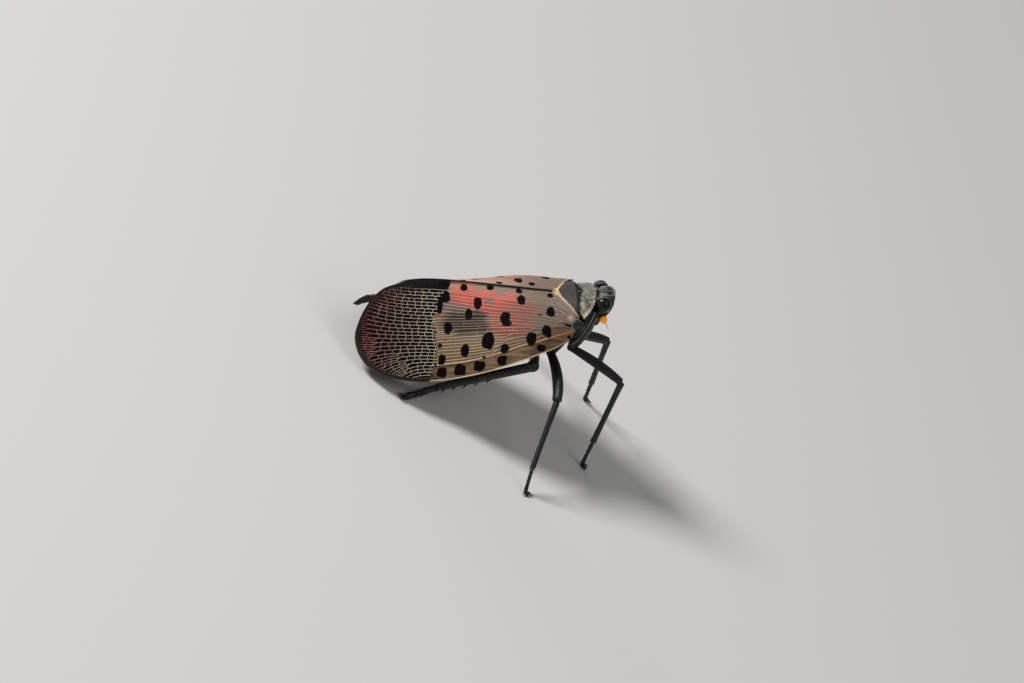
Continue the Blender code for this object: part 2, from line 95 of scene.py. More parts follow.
# %% The camera
VIEW_ROUND = math.radians(27.6)
VIEW_DOWN = math.radians(29.7)
VIEW_ROLL = math.radians(37.9)
VIEW_DISTANCE = 0.5
VIEW_WIDTH = 0.0957
SENSOR = 36.0
AIM_FROM = Vector((0, -2.6, 0))
AIM_SHIFT = (-6.355, -1.822)

ahead = Vector((
    math.sin(VIEW_ROUND) * math.cos(VIEW_DOWN),
    math.cos(VIEW_ROUND) * math.cos(VIEW_DOWN),
    -math.sin(VIEW_DOWN),
))
level = Vector((math.cos(VIEW_ROUND), -math.sin(VIEW_ROUND), 0))
over = level.cross(ahead)
right = level * math.cos(VIEW_ROLL) + over * math.sin(VIEW_ROLL)
up = over * math.cos(VIEW_ROLL) - level * math.sin(VIEW_ROLL)
aim = (STANCE @ AIM_FROM + right * AIM_SHIFT[0] + up * AIM_SHIFT[1]) * MM

camera_data = bpy.data.cameras.new("camera")
camera_data.sensor_width = SENSOR
camera_data.lens = SENSOR * VIEW_DISTANCE / VIEW_WIDTH
camera_data.clip_start = 0.01
camera = bpy.data.objects.new("camera", camera_data)
camera.matrix_world = Matrix.Translation(aim - ahead * VIEW_DISTANCE) @ Matrix(
    (right, up, -ahead)
).transposed().to_4x4()
bpy.context.scene.collection.objects.link(camera)
bpy.context.scene.camera = camera
print("lens", round(camera_data.lens), "mm")

# %% The lights
# How far right, up and ahead of the aim, and the light's size and power.
LIGHTS = {
    "key": (-0.24, 0.56, -0.30, 0.20, 4.8),
    "front": (0.30, 0.05, -0.25, 0.25, 0.22),
    "rim": (-0.20, 0.25, 0.30, 0.20, 0.3),
}
LOWEST_LIGHT = 0.1
for light_name, (sideways, upward, towards, size, power) in LIGHTS.items():
    light_data = bpy.data.lights.new(light_name, "AREA")
    light_data.shape = "DISK"
    light_data.size = size
    light_data.energy = power
    light = bpy.data.objects.new(light_name, light_data)
    spot = aim + right * sideways + up * upward + ahead * towards
    spot.z = max(spot.z, LOWEST_LIGHT)
    facing = (spot - aim).to_track_quat("Z", "Y").to_matrix().to_4x4()
    light.matrix_world = Matrix.Translation(spot) @ facing
    bpy.context.scene.collection.objects.link(light)

SKY_COLOUR = (0.86, 0.88, 0.92, 1)
SKY_STRENGTH = 0.19
world = bpy.data.worlds.new("studio")
world.use_nodes = True
sky = world.node_tree.nodes["Background"].inputs
sky["Color"].default_value = SKY_COLOUR
sky["Strength"].default_value = SKY_STRENGTH
bpy.context.scene.world = world
bpy.context.scene.view_settings.view_transform = "Standard"
print(len(LIGHTS), "lights")

# %% [markdown]
# ## Materials as sums
#
# A material's masks are plain arithmetic, so they are written as arithmetic. One small class wraps
# a socket: adding or multiplying it adds a Math node. A second class holds one material, and one
# method of it adds any other node, with its settings first and its sockets after. The points of
# each piece carry their place in millimetres, so that every pattern has its true size.


# %% A socket that can be added and multiplied
class Value:
    def __init__(self, recipe, socket):
        self.recipe = recipe
        self.socket = socket

    def math(self, operation, first, second):
        return self.recipe.node("ShaderNodeMath", {"operation": operation}, {0: first, 1: second})

    def __add__(self, other):
        return self.math("ADD", self, other)

    def __sub__(self, other):
        return self.math("SUBTRACT", self, other)

    def __rsub__(self, other):
        return self.math("SUBTRACT", other, self)

    def __mul__(self, other):
        return self.math("MULTIPLY", self, other)

    __radd__ = __add__
    __rmul__ = __mul__


# %% A material made of sums
def srgb(red, green, blue):
    """A colour as read off a screen, 0 to 255, in the linear values that Blender takes."""
    shares = [channel / 255 for channel in (red, green, blue)]
    return (*(c / 12.92 if c < 0.04 else ((c + 0.055) / 1.055) ** 2.4 for c in shares), 1.0)


class Recipe:
    def __init__(self, name, roughness, **constants):
        self.material = bpy.data.materials.new(name)
        self.material.use_nodes = True
        self.tree = self.material.node_tree
        self.shader = self.tree.nodes["Principled BSDF"]
        self.shader.inputs["Roughness"].default_value = roughness
        for socket, value in constants.items():
            self.shader.inputs[socket.replace("_", " ")].default_value = value
        self.here = self.attribute("here")

    def node(self, kind, settings, sockets, output=0):
        """Adds a node of any kind: its settings first, then the values or links of its sockets."""
        node = self.tree.nodes.new(kind)
        for setting, value in settings.items():
            setattr(node, setting, value)
        for key, value in sockets.items():
            if isinstance(value, Value):
                self.tree.links.new(value.socket, node.inputs[key])
            else:
                node.inputs[key].default_value = value
        return Value(self, node.outputs[output])

    def attribute(self, name):
        return self.node("ShaderNodeAttribute", {"attribute_name": name}, {}, "Vector")

    def parts(self, vector):
        """The three numbers of a vector."""
        return [self.node("ShaderNodeSeparateXYZ", {}, {0: vector}, k) for k in range(3)]

    def read(self, name):
        """The three numbers that each point of the mesh carries under this name."""
        return self.parts(self.attribute(name))

    def ramp(self, value, start, end):
        """A smooth mask that goes from 0 to 1 as the value goes from start to end."""
        settings = {"interpolation_type": "SMOOTHSTEP"}
        return self.node("ShaderNodeMapRange", settings, {0: value, 1: start, 2: end})

    def mix(self, mask, first, second):
        """The second colour laid over the first. A plain colour is given as read off a screen."""
        colours = [srgb(*c) if isinstance(c, tuple) else c for c in (first, second)]
        sockets = {0: mask, 6: colours[0], 7: colours[1]}
        return self.node("ShaderNodeMix", {"data_type": "RGBA"}, sockets, 2)

    def layers(self, colour, *masked):
        """A colour with others laid over it in turn, each given with its mask."""
        for mask, layer in masked:
            colour = self.mix(mask, colour, layer)
        return colour

    def stretch(self, vector, factors):
        settings = {"operation": "MULTIPLY"}
        return self.node("ShaderNodeVectorMath", settings, {0: vector, 1: factors})

    def noise(self, scale, detail=2.0, at=None):
        """Cloudy noise between 0 and 1; scale is in features per millimetre."""
        sockets = {"Vector": at or self.here, "Scale": scale, "Detail": detail}
        return self.node("ShaderNodeTexNoise", {}, sockets)

    def cells(self, scale):
        return self.node("ShaderNodeTexVoronoi", {}, {"Vector": self.here, "Scale": scale})

    def feed(self, socket, value):
        self.tree.links.new(value.socket, self.shader.inputs[socket])

    def paint(self, colour, relief=None, depth=0.0):
        """Sets the colour and, for what is finer than the mesh, relief so many millimetres deep."""
        self.feed("Base Color", colour)
        if relief:
            sockets = {"Height": relief, "Distance": depth * MM, "Strength": 1.0}
            self.feed("Normal", self.node("ShaderNodeBump", {}, sockets))
        return self.material


print("the material tools are ready")

# %% The floor
FLOOR_SIZE = 1.2
corners = [(x * FLOOR_SIZE, y * FLOOR_SIZE, 0) for x, y in ((-1, -1), (1, -1), (1, 1), (-1, 1))]
floor_mesh = bpy.data.meshes.new("floor")
floor_mesh.from_pydata(corners, [], [(0, 1, 2, 3)])
floor = bpy.data.objects.new("floor", floor_mesh)
bpy.context.scene.collection.objects.link(floor)
paper = Recipe("paper", 0.75)
floor_mesh.materials.append(paper.paint(paper.mix(paper.noise(0.6), (212, 210, 206), (220, 218, 214))))

# %% [markdown]
# ## Mesh tools
#
# An insect is made of tubes, plates and spikes. Tubes and plates are grids of points, so one
# helper closes any stack of rings and another a stack of rows with a thickness. A shape collects
# such closed skins in millimetres, and becomes one object when it is placed.


# %% Shapes that become pieces
class Shape:
    """Closed skins in millimetres, with values at their points that the materials read."""

    def __init__(self):
        self.points = []
        self.faces = []
        self.values = {}
        self.count = 0

    def add(self, points, faces, **values):
        points = np.asarray(points, float).reshape(-1, 3)
        self.points.append(points)
        self.faces += [tuple(corner + self.count for corner in face) for face in faces]
        for name, value in values.items():
            self.values.setdefault(name, []).append(np.broadcast_to(value, (len(points), 3)))
        self.count += len(points)
        return self

    def add_rings(self, rings):
        """A closed tube over a stack of rings."""
        return self.add(np.concatenate(rings), ring_faces(len(rings), len(rings[0])))


def mesh_of(shape, name, world=True):
    """A Blender mesh of the shape, in world metres, or as it is, in millimetres."""
    points = np.concatenate(shape.points)
    mesh = bpy.data.meshes.new(name)
    mesh.from_pydata((to_world(points) if world else points).tolist(), [], shape.faces)
    values = {"here": points, **{key: np.concatenate(found) for key, found in shape.values.items()}}
    for key, value in values.items():
        mesh.attributes.new(key, "FLOAT_VECTOR", "POINT").data.foreach_set("vector", value.ravel())
    bm = bmesh.new()
    bm.from_mesh(mesh)
    bmesh.ops.recalc_face_normals(bm, faces=bm.faces[:])
    bm.to_mesh(mesh)
    bm.free()
    return mesh


SHARP_ANGLE = math.radians(50.0)


def add_piece(name, shape, material, slot, replaces=()):
    """Places a shape as one object that rides with the body and stands for its solids."""
    mesh = mesh_of(shape, name)
    mesh.shade_smooth()
    mesh.set_sharp_from_angle(angle=SHARP_ANGLE)
    mesh.materials.append(material)
    piece = bpy.data.objects.new(name, mesh)
    bpy.context.scene.collection.objects.link(piece)
    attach(piece, "root")
    if replaces:
        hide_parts(*replaces)
    print(name, len(mesh.polygons), "faces")


def add_pairs(*rows):
    """Pieces for each side. A star in a piece's or a solid's name stands for the side's name."""
    for side_name, side in (("right", -1), ("left", 1)):
        for name, make, material, slot, *solids in rows:
            replaces = [solid.replace("*", side_name) for solid in solids]
            add_piece(name.replace("*", side_name), make(side), material, slot, replaces)


# %% Rings and slabs
def unit(vector):
    return vector / np.linalg.norm(vector)


def mirror(points, side):
    """Points given for the right side, or their mirror image on the left."""
    return np.asarray(points, float) * (1, -side, 1)


def columns(*grids):
    """Grids of numbers as the columns of one table."""
    return np.column_stack([np.ravel(grid) for grid in grids])


def ring_turns(count):
    return np.linspace(0, 2 * math.pi, count, endpoint=False)


def ring_faces(rings, sides):
    """Faces of a tube of rings, with its two flat ends."""
    faces = []
    for ring in range(rings - 1):
        for side in range(sides):
            a, b = ring * sides + side, ring * sides + (side + 1) % sides
            faces.append((a, b, b + sides, a + sides))
    faces.append(tuple(range(sides))[::-1])
    faces.append(tuple(range((rings - 1) * sides, rings * sides)))
    return faces


def slab(outer, inner, **values):
    """A closed plate between two grids of points, both of which carry the same values."""
    rows, across = outer.shape[:2]
    half = rows * across
    corners = [r * across + c for r in range(rows - 1) for c in range(across - 1)]
    corners += [half + corner for corner in corners]
    faces = [(a, a + 1, a + across + 1, a + across) for a in corners]
    rim = list(range(across))
    rim += [r * across + across - 1 for r in range(1, rows)]
    rim += [(rows - 1) * across + c for c in range(across - 2, -1, -1)]
    rim += [r * across for r in range(rows - 2, 0, -1)]
    faces += [(a, b, b + half, a + half) for a, b in zip(rim, rim[1:] + rim[:1])]
    points = np.concatenate([outer.reshape(-1, 3), inner.reshape(-1, 3)])
    return Shape().add(points, faces, **{key: np.vstack([found] * 2) for key, found in values.items()})


print("a ring of 3 and its two ends make", len(ring_faces(2, 3)), "faces")


# %% Curves, tubes, spikes and balls
def curve_through(points, count):
    """Points spread evenly along a smooth curve through the given ones."""
    points = np.asarray(points, float)
    ends = np.vstack([2 * points[0] - points[1], points, 2 * points[-1] - points[-2]])
    fine = []
    for k in range(len(points) - 1):
        a, b, c, d = ends[k : k + 4]
        for u in np.linspace(0, 1, 12, endpoint=False):
            fine.append(0.5 * (2 * b + (c - a) * u + (2 * a - 5 * b + 4 * c - d) * u**2
                               + (3 * b - a - 3 * c + d) * u**3))
    fine = np.array(fine + [points[-1]])
    run = run_along(fine)
    evenly = np.linspace(0, run[-1], count)
    return np.stack([np.interp(evenly, run, fine[:, axis]) for axis in range(3)], axis=1)


def run_along(line):
    """How far along a line each of its points lies."""
    return np.concatenate([[0], np.cumsum(np.linalg.norm(np.diff(line, axis=0), axis=1))])


def frames_along(route):
    """Two directions across the route at each of its points, turned as little as possible."""
    along = np.gradient(route, axis=0)
    along /= np.linalg.norm(along, axis=1)[:, None]
    upright = abs(along[0][2]) > 0.95
    first = np.array((1.0, 0.0, 0.0) if upright else (0.0, 0.0, 1.0))
    firsts = []
    for direction in along:
        first = unit(first - direction * (first @ direction))
        firsts.append(first)
    return np.array(firsts), np.cross(along, firsts)


def tube(route, radii, sides, flat=1.0, ridges=0.0):
    """A closed tube; flat squashes it across, and ridges raises four keels along it."""
    route = np.asarray(route, float)
    firsts, seconds = frames_along(route)
    turns = ring_turns(sides)
    reach = 1 + ridges * (np.abs(np.cos(2 * turns)) ** 3 - 0.4)
    rings = (firsts[:, None] * (np.cos(turns) * reach)[None, :, None]
             + seconds[:, None] * (np.sin(turns) * reach * flat)[None, :, None])
    radii = np.broadcast_to(np.asarray(radii, float), len(route))
    rings = route[:, None] + rings * radii[:, None, None]
    return rings.reshape(-1, 3), ring_faces(len(route), sides)


def spike(root, tip, radius, bend=(0, 0, 0), sides=6, steps=4):
    """A thin horn from root to tip, bent aside in its middle."""
    shares = np.linspace(0, 1, steps + 1)[:, None]
    route = np.asarray(root) * (1 - shares) + np.asarray(tip) * shares
    route = route + np.asarray(bend) * 4 * shares * (1 - shares)
    return tube(route, radius * (1 - 0.92 * shares[:, 0] ** 1.3), sides)


def ball(centre, radii, segments=20, rings=12, turn=None):
    bm = bmesh.new()
    bmesh.ops.create_uvsphere(bm, u_segments=segments, v_segments=rings, radius=1.0)
    points = np.array([vert.co[:] for vert in bm.verts]) * np.asarray(radii)
    if turn is not None:
        points = points @ np.array(turn).T
    faces = [tuple(vert.index for vert in face.verts) for face in bm.faces]
    bm.free()
    return points + np.asarray(centre), faces


def melted(shape, voxel):
    """One skin over overlapping closed skins: they are remeshed in millimetres and smoothed."""
    carrier = bpy.data.objects.new("melted", mesh_of(shape, "melted", world=False))
    bpy.context.scene.collection.objects.link(carrier)
    remesh = carrier.modifiers.new("remesh", "REMESH")
    remesh.mode = "VOXEL"
    remesh.voxel_size = voxel
    smooth = carrier.modifiers.new("smooth", "SMOOTH")
    smooth.factor = 0.5
    smooth.iterations = 2
    graph = bpy.context.evaluated_depsgraph_get()
    mesh = bpy.data.meshes.new_from_object(carrier.evaluated_get(graph))
    points = np.empty(len(mesh.vertices) * 3)
    mesh.vertices.foreach_get("co", points)
    faces = [tuple(face.vertices) for face in mesh.polygons]
    bpy.data.objects.remove(carrier, do_unlink=True)
    bpy.data.meshes.remove(mesh)
    return Shape().add(points, faces)


print("the mesh tools are ready")

# %% [markdown]
# ## The roof of the wings
#
# Both forewings lie on one curved roof, so the wing is drawn flat first and then bent. A place on
# the wing has two numbers: t, how far behind the hinge it lies, and s, how far it lies from the
# middle along the roof. One function turns those into a point in space. Veins, spots and colour
# zones can then be laid out on flat paper, and they land on the curved wing by themselves.

# %% Edges of the flat wing paper
WING_ROOT = 0.28
WING_TIP = 20.66
WING_TIP_S = 3.19
OUTER_APEX = (12.9, 2.8, 0.6)
INNER_APEX = (17.3, 2.65, 0.6)
SHIELD_ENDS = 2.49
SHIELD_HALF_WIDTH = 3.03


def closing(t, shape):
    """How far an edge of the outline has closed towards the tip: 1 before the apex, 0 at the tip."""
    start, power, fullness = shape
    return (1 - np.clip((t - start) / (WING_TIP - start), 0, 1) ** power) ** fullness


def costal_edge(t):
    """The outer edge of the forewing."""
    edge = 9.8 - 0.0585 * np.maximum(15 - t, 0) ** 1.65 - 1.6 * np.exp(-t / 0.7)
    return WING_TIP_S + (edge - WING_TIP_S) * closing(t, OUTER_APEX)


def inner_edge(t):
    """The inner edge of the forewing: along the shield, then the middle, then the apex."""
    k = np.clip((SHIELD_ENDS - t) / (SHIELD_ENDS - WING_ROOT), 0, 1)
    beside_shield = SHIELD_HALF_WIDTH * k**0.8 - 0.4 * smooth_step(0, 0.25, k)
    return np.maximum(np.maximum(beside_shield, WING_TIP_S * (1 - closing(t, INNER_APEX))), 0.1)


print("paper", round(float(costal_edge(np.array(12.0))), 2), "mm wide at t = 12")

# %% Bending flat wing paper into the roof
SHOULDER_LIFT = 0.6
SHOULDER_LIFT_BEHIND = 0.13
SHOULDER_FADES_OVER = 2.2
SHOULDER_S = 2.2
SHOULDER_ENDS = 0.55
LEFT_TIP_SHORTER = 0.225
LEFT_TIP_FROM = 16.5
LEFT_TIP_BENDS = (
    (16.5, 0, 0), (17.6, -0.66, 0.31), (18.6, -0.94, 0.2), (19.3, -0.45, 0.16),
    (19.9, -0.04, 0.04), (20.4, 0.0, 0.14),
)


def shoulder(t, s):
    """How far the wing bulges over the flight muscles beside the shield."""
    edge = costal_edge(t)
    height = SHOULDER_LIFT_BEHIND + SHOULDER_LIFT * np.exp(-t / SHOULDER_FADES_OVER)
    return height * smooth_step(0, SHOULDER_S, s) * (1 - smooth_step(SHOULDER_ENDS * edge, edge, s))


def tip_bend(t, s):
    """How the tip of the left wing twists, so that it shows beside the right one."""
    share = np.clip((s - inner_edge(t)) / (costal_edge(t) - inner_edge(t) + 1e-6), 0, 1)
    bend = 0 * share
    for before, after in zip(LEFT_TIP_BENDS, LEFT_TIP_BENDS[1:]):
        step = (after[1] - before[1]) * (1 - share) + (after[2] - before[2]) * share
        bend = bend + step * smooth_step(before[0], after[0], t)
    return bend


def roof(t, s, side, lift=0.0):
    """Points and normals of the roof; side is -1 for the right wing and +1 for the left."""
    t, s, lift = np.broadcast_arrays(*(np.asarray(value, float) for value in (t, s, lift)))
    left = np.asarray(side) > 0
    first = np.radians(5 + 35 * smooth_step(3, 14, t))
    last = np.radians(70 - 6 * smooth_step(10, 17, t))
    radius = (10 - 6.1 * np.exp(-t / 4.2)) / (last - first)
    ridge = 1.36 + 0.3 * smooth_step(2.5, 12.4, t) - 0.0193 * np.maximum(t - 12.8, 0) ** 2.5
    slope = first + s / radius
    across = side * radius * (np.sin(slope) - np.sin(first))
    height = ridge - radius * (np.cos(first) - np.cos(slope))
    normal = np.stack([0 * slope, side * np.sin(slope), np.cos(slope)], axis=-1)
    lift = lift + shoulder(t, s) + np.where(left, tip_bend(t, s), 0)
    back = t - np.where(left, LEFT_TIP_SHORTER * smooth_step(LEFT_TIP_FROM, WING_TIP, t), 0)
    return np.stack([-back, across, height], axis=-1) + normal * lift[..., None], normal


drawn_tip = to_world(roof(WING_TIP, WING_TIP_S, -1)[0])[0]

# %% [markdown]
# ## Spots and zones
#
# The basal two thirds are parchment coloured with some thirty black spots and a red flush, and the
# last third is a black net with pale veins. The pattern could be painted on an image, but a
# picture is fixed to one size. Here each spot is an ellipse with a wavy rim on the flat wing
# paper, and each zone a line, and the points of the mesh carry the distance to them. The
# material then draws edges as sharp as it likes.

# %% The pattern on flat wing paper
# The middle in t and s and the half sizes of each spot.
SPOTS = (
    (11.11, 0.62, 0.34, 0.35), (5.71, 1.48, 0.39, 0.55), (9.78, 2.05, 0.38, 0.58),
    (10.57, 3.14, 0.34, 0.53), (2.96, 2.54, 0.40, 0.49), (7.20, 3.42, 0.45, 0.68),
    (12.38, 4.52, 0.38, 0.57), (3.29, 4.33, 0.45, 0.48), (8.63, 5.53, 0.56, 0.80),
    (4.68, 5.21, 0.48, 0.62), (7.07, 6.19, 0.38, 0.45), (12.97, 6.20, 0.20, 0.24),
    (10.63, 6.52, 0.38, 0.62), (3.65, 5.96, 0.44, 0.34), (12.64, 7.50, 0.32, 0.48),
    (8.85, 7.08, 0.14, 0.15), (7.19, 7.32, 0.43, 0.46), (9.17, 7.91, 0.51, 0.49),
    (10.87, 8.39, 0.52, 0.54), (12.49, 8.75, 0.46, 0.48), (0.95, 4.56, 0.21, 0.19),
    (12.92, 0.52, 0.38, 0.38), (12.77, 1.65, 0.38, 0.56), (13.28, 2.43, 0.28, 0.80),
    (3.05, 4.72, 0.28, 0.24), (6.95, 3.85, 0.33, 0.30), (4.0, 2.94, 0.14, 0.09),
    (13.35, 9.12, 0.17, 0.10), (13.02, 9.36, 0.10, 0.07), (13.3, 3.05, 0.14, 0.2),
    (13.55, 5.0, 0.16, 0.1), (13.2, 8.1, 0.12, 0.16),
)
OWN_SPOTS = {
    -1: ((8.63, 0.38, 0.35, 0.27), (5.86, 0.43, 0.30, 0.30), (2.91, 0.68, 0.30, 0.31)),
    1: ((7.65, 0.60, 0.34, 0.28), (4.50, 0.85, 0.31, 0.28), (8.95, 2.60, 0.30, 0.40)),
}
SQUARE_ROW = 7.2
NET_STARTS = (
    (0.0, 12.3), (0.85, 12.5), (1.77, 13.04), (2.85, 13.11), (3.39, 13.76), (4.32, 13.65),
    (5.39, 13.48), (6.10, 13.2), (7.77, 13.09), (8.30, 13.39), (9.0, 13.5), (10.0, 13.6),
)
RED_ZONE = (
    (12.45, 0.39), (10.74, 0.19), (8.16, 0.57), (6.15, 0.58), (4.86, 1.57), (3.25, 2.27),
    (3.7, 2.95), (5.0, 3.2), (4.7, 3.6), (4.37, 4.15), (5.28, 4.78), (7.55, 5.41),
    (8.72, 4.32), (8.77, 3.19), (9.16, 2.83), (10.94, 2.46), (12.46, 2.0),
)
GREY_PATCHES = (
    (8.67, 1.83, 0.50, 0.40), (7.64, 0.68, 0.70, 0.52), (9.83, 0.50, 0.55, 0.28), (5.2, 0.5, 0.9, 0.4),
)
DARK_PATCHES = ((10.9, 4.0, 2.2, 1.0), (9.7, 3.3, 0.9, 0.6))
HINGE_MARKS = ((0.99, 2.96, 0.36, 0.30), (1.16, 3.55, 0.40, 0.12), (2.3, 4.12, 0.55, 0.16))
COSTAL_VEIN_LINE = (
    (0.5, 3.75), (0.9, 4.05), (2.5, 4.75), (4.09, 5.45), (5.67, 5.92), (7.45, 6.63),
    (8.67, 7.04), (10.6, 7.61), (13.5, 8.15),
)
MARGIN_WIDTH = 0.35
SEAM_BORDER_WIDTH = 0.64

print(len(SPOTS) + len(OWN_SPOTS[1]), "spots on each wing")

# %% Distances to the marks
margin_t = WING_ROOT + (WING_TIP - WING_ROOT) * np.sin(np.linspace(0, math.pi / 2, 400))
outer_margin = np.stack([margin_t, costal_edge(margin_t)], axis=1)
inner_margin = np.stack([margin_t, inner_edge(margin_t)], axis=1)


def through(line, places):
    """The second number of a line of pairs where the first has the given values."""
    return np.interp(places, *np.array(line).T)


def distance_to(line, t, s):
    """The least distance from each place to a line of points."""
    gaps = np.stack([t.ravel(), s.ravel()], axis=1)[:, None] - line[None]
    return np.sqrt((gaps**2).sum(axis=2).min(axis=1)).reshape(t.shape)


def distance_to_spots(t, s, spots, corner=2.3):
    """Below zero inside a spot. The spots of the costal row are squarer than the others."""
    nearest = np.full(t.shape, 9.0)
    for k, (middle_t, middle_s, half_t, half_s) in enumerate(spots):
        x, y = (t - middle_t) / half_t, (s - middle_s) / half_s
        turn = np.arctan2(y, x)
        wavy = 1 + 0.05 * np.sin(3 * turn + 1.7 * k) + 0.04 * np.sin(5 * turn + 2.9 * k)
        power = 3.6 if middle_s > SQUARE_ROW else corner
        reach = (np.abs(x) ** power + np.abs(y) ** power) ** (1 / power)
        nearest = np.minimum(nearest, (reach - wavy) * min(half_t, half_s))
    return nearest


def depth_in_zone(outline, t, s):
    """Above zero inside a closed outline, by how deep."""
    outline = np.array(outline)
    inside = np.zeros(t.shape, bool)
    dense = []
    for (t1, s1), (t2, s2) in zip(outline, np.roll(outline, -1, axis=0)):
        crosses = (s1 > s) != (s2 > s)
        at = t1 + (s - s1) / np.where(s2 == s1, 1e-9, s2 - s1) * (t2 - t1)
        inside ^= crosses & (t < at)
        shares = np.linspace(0, 1, 16, endpoint=False)[:, None]
        dense.append(np.array((t1, s1)) * (1 - shares) + np.array((t2, s2)) * shares)
    return np.where(inside, 1, -1) * distance_to(np.concatenate(dense), t, s)


def wing_values(t, s, side):
    """What the wing materials read at each point: its place, and its distance from each mark."""
    t, s = np.asarray(t, float).ravel(), np.asarray(s, float).ravel()
    from_outer, from_inner = distance_to(outer_margin, t, s), distance_to(inner_margin, t, s)
    seam = SEAM_BORDER_WIDTH - 0.36 * smooth_step(15.4, 18.4, t)
    in_net = np.minimum(from_outer - MARGIN_WIDTH, from_inner - seam)
    spots = distance_to_spots(t, s, SPOTS + OWN_SPOTS[side])
    grey, dark = (distance_to_spots(t, s, marks, 2.0) for marks in (GREY_PATCHES, DARK_PATCHES))
    return {
        "place": columns(t, s, np.minimum(from_outer, from_inner)),
        "marks": columns(spots, t - through(NET_STARTS, s), depth_in_zone(RED_ZONE, t, s)),
        "net": columns(in_net, from_outer, from_inner),
        "zones": columns(grey, dark, s - through(COSTAL_VEIN_LINE, t)),
        "hinge": columns(*(distance_to_spots(t, s, (mark,), 2.0) for mark in HINGE_MARKS)),
    }


print("values at each point:", ", ".join(wing_values(8.0, 4.0, -1)))

# %% [markdown]
# ## Wing veins
#
# The veins of the basal part fan out from the hinge and fork on their way. Those of the apical net
# run on in close rows, joined by short cross veins like the joints of brickwork. Nobody needs to
# draw each vein: a few main ones are given, and wherever two neighbours stand too far apart, a
# new one forks off and eases into the middle of the gap. Rows that crowd together end.

# %% Rows of veins that fork
VEIN_STEP = 0.12
VEIN_SEED = 7
MAIN_VEINS = (
    ((0.5, 2.75), (0.9, 2.55), (1.6, 1.35), (2.3, 0.55), (3.2, 0.36), (8.0, 0.34), (12.9, 0.42)),
    ((0.5, 2.9), (0.9, 2.75), (1.7, 1.9), (3.0, 1.2), (6.0, 0.95), (9.0, 0.8), (12.9, 0.75)),
    ((0.5, 3.05), (0.9, 3.0), (2.0, 2.35), (4.0, 1.9), (7.0, 1.6), (10.0, 1.35), (13.2, 1.2)),
    ((0.5, 3.3), (0.9, 3.4), (3.0, 3.1), (6.5, 2.95), (8.0, 2.9), (9.34, 2.8), (10.65, 2.53), (13.3, 2.3)),
    ((0.5, 3.45), (0.9, 3.7), (3.0, 3.7), (5.0, 3.62), (7.1, 3.5), (8.6, 3.4), (13.9, 3.75)),
    ((0.5, 3.55), (0.9, 3.85), (2.3, 4.15), (4.1, 4.22), (5.8, 4.19), (8.9, 4.33), (13.9, 4.8)),
    ((0.5, 3.65), (0.9, 3.95), (2.5, 4.35), (4.5, 4.65), (6.67, 4.83), (9.39, 5.09), (13.7, 5.6)),
    ((0.5, 3.7), (0.9, 4.0), (2.5, 4.55), (5.0, 5.25), (8.0, 6.0), (13.5, 6.8)),
    COSTAL_VEIN_LINE,
)
COSTAL_VEIN = len(MAIN_VEINS) - 1


def eased(points, stations):
    """s at each station through the given places, with the corners rounded off."""
    t, s = np.array(points).T
    straight = np.interp(stations, t, s)
    window = np.hanning(13)
    padded = np.pad(straight, 6, mode="edge")
    smooth = np.convolve(padded, window / window.sum(), "valid")
    return np.where((stations < t[0]) | (stations > t[-1]), np.nan, smooth)


def with_forks(rows, stations, widest, ease, rounds=3):
    """Adds a forked row wherever two neighbouring rows stand further apart than widest."""
    for _ in range(rounds):
        filled = [rows[0]]
        for upper, lower in zip(rows, rows[1:]):
            gap = lower - upper
            there = np.flatnonzero(~np.isnan(gap))
            begins = stations[there[0]] if len(there) else stations[-1]
            wide = np.flatnonzero((gap > widest) & (stations > begins + ease))
            if len(wide):
                opening = 0.5 * smooth_step(0, ease, stations - stations[wide[0]])
                fork = upper + gap * opening
                fork[: wide[0]] = np.nan
                filled.append(fork)
            filled.append(lower)
        rows = filled
    return rows


def without_crowding(rows, narrowest):
    """Ends a row where it comes too close to the last one kept."""
    kept = [rows[0]]
    for row in rows[1:]:
        close = np.flatnonzero(row - kept[-1] < narrowest)
        close = close[close > np.flatnonzero(~np.isnan(row))[0] + 8]
        if len(close):
            row = row.copy()
            row[close[0] + 1 :] = np.nan
        kept.append(row)
    return kept


def basal_rows(stations):
    mains = [eased(points, stations) for points in MAIN_VEINS]
    return with_forks(mains, stations, 0.38, 0.8)


print(len(basal_rows(np.arange(0.5, 14, VEIN_STEP))), "basal rows")

# %% Rows and joints of the apical net
NET_PITCH = 0.31
NET_BENDS = ((3.5, 0.008), (5.6, 0.0056), (6.9, 0.0034), (7.6, -0.002), (8.4, -0.018), (9.6, -0.03))
NET_BENDS_FROM = 13.1


def net_rows(stations):
    """Rows of the apical net, which bend up towards the seam above and down to the margin below."""
    rows = []
    for start in np.arange(0.4, 9.6, NET_PITCH):
        begins = through(NET_STARTS, start) - 0.1
        row = start - through(NET_BENDS, start) * np.maximum(stations - NET_BENDS_FROM, 0) ** 3
        rows.append(np.where(stations < begins, np.nan, row))
    return with_forks(without_crowding(rows, 0.17), stations, 0.40, 0.4, rounds=2)


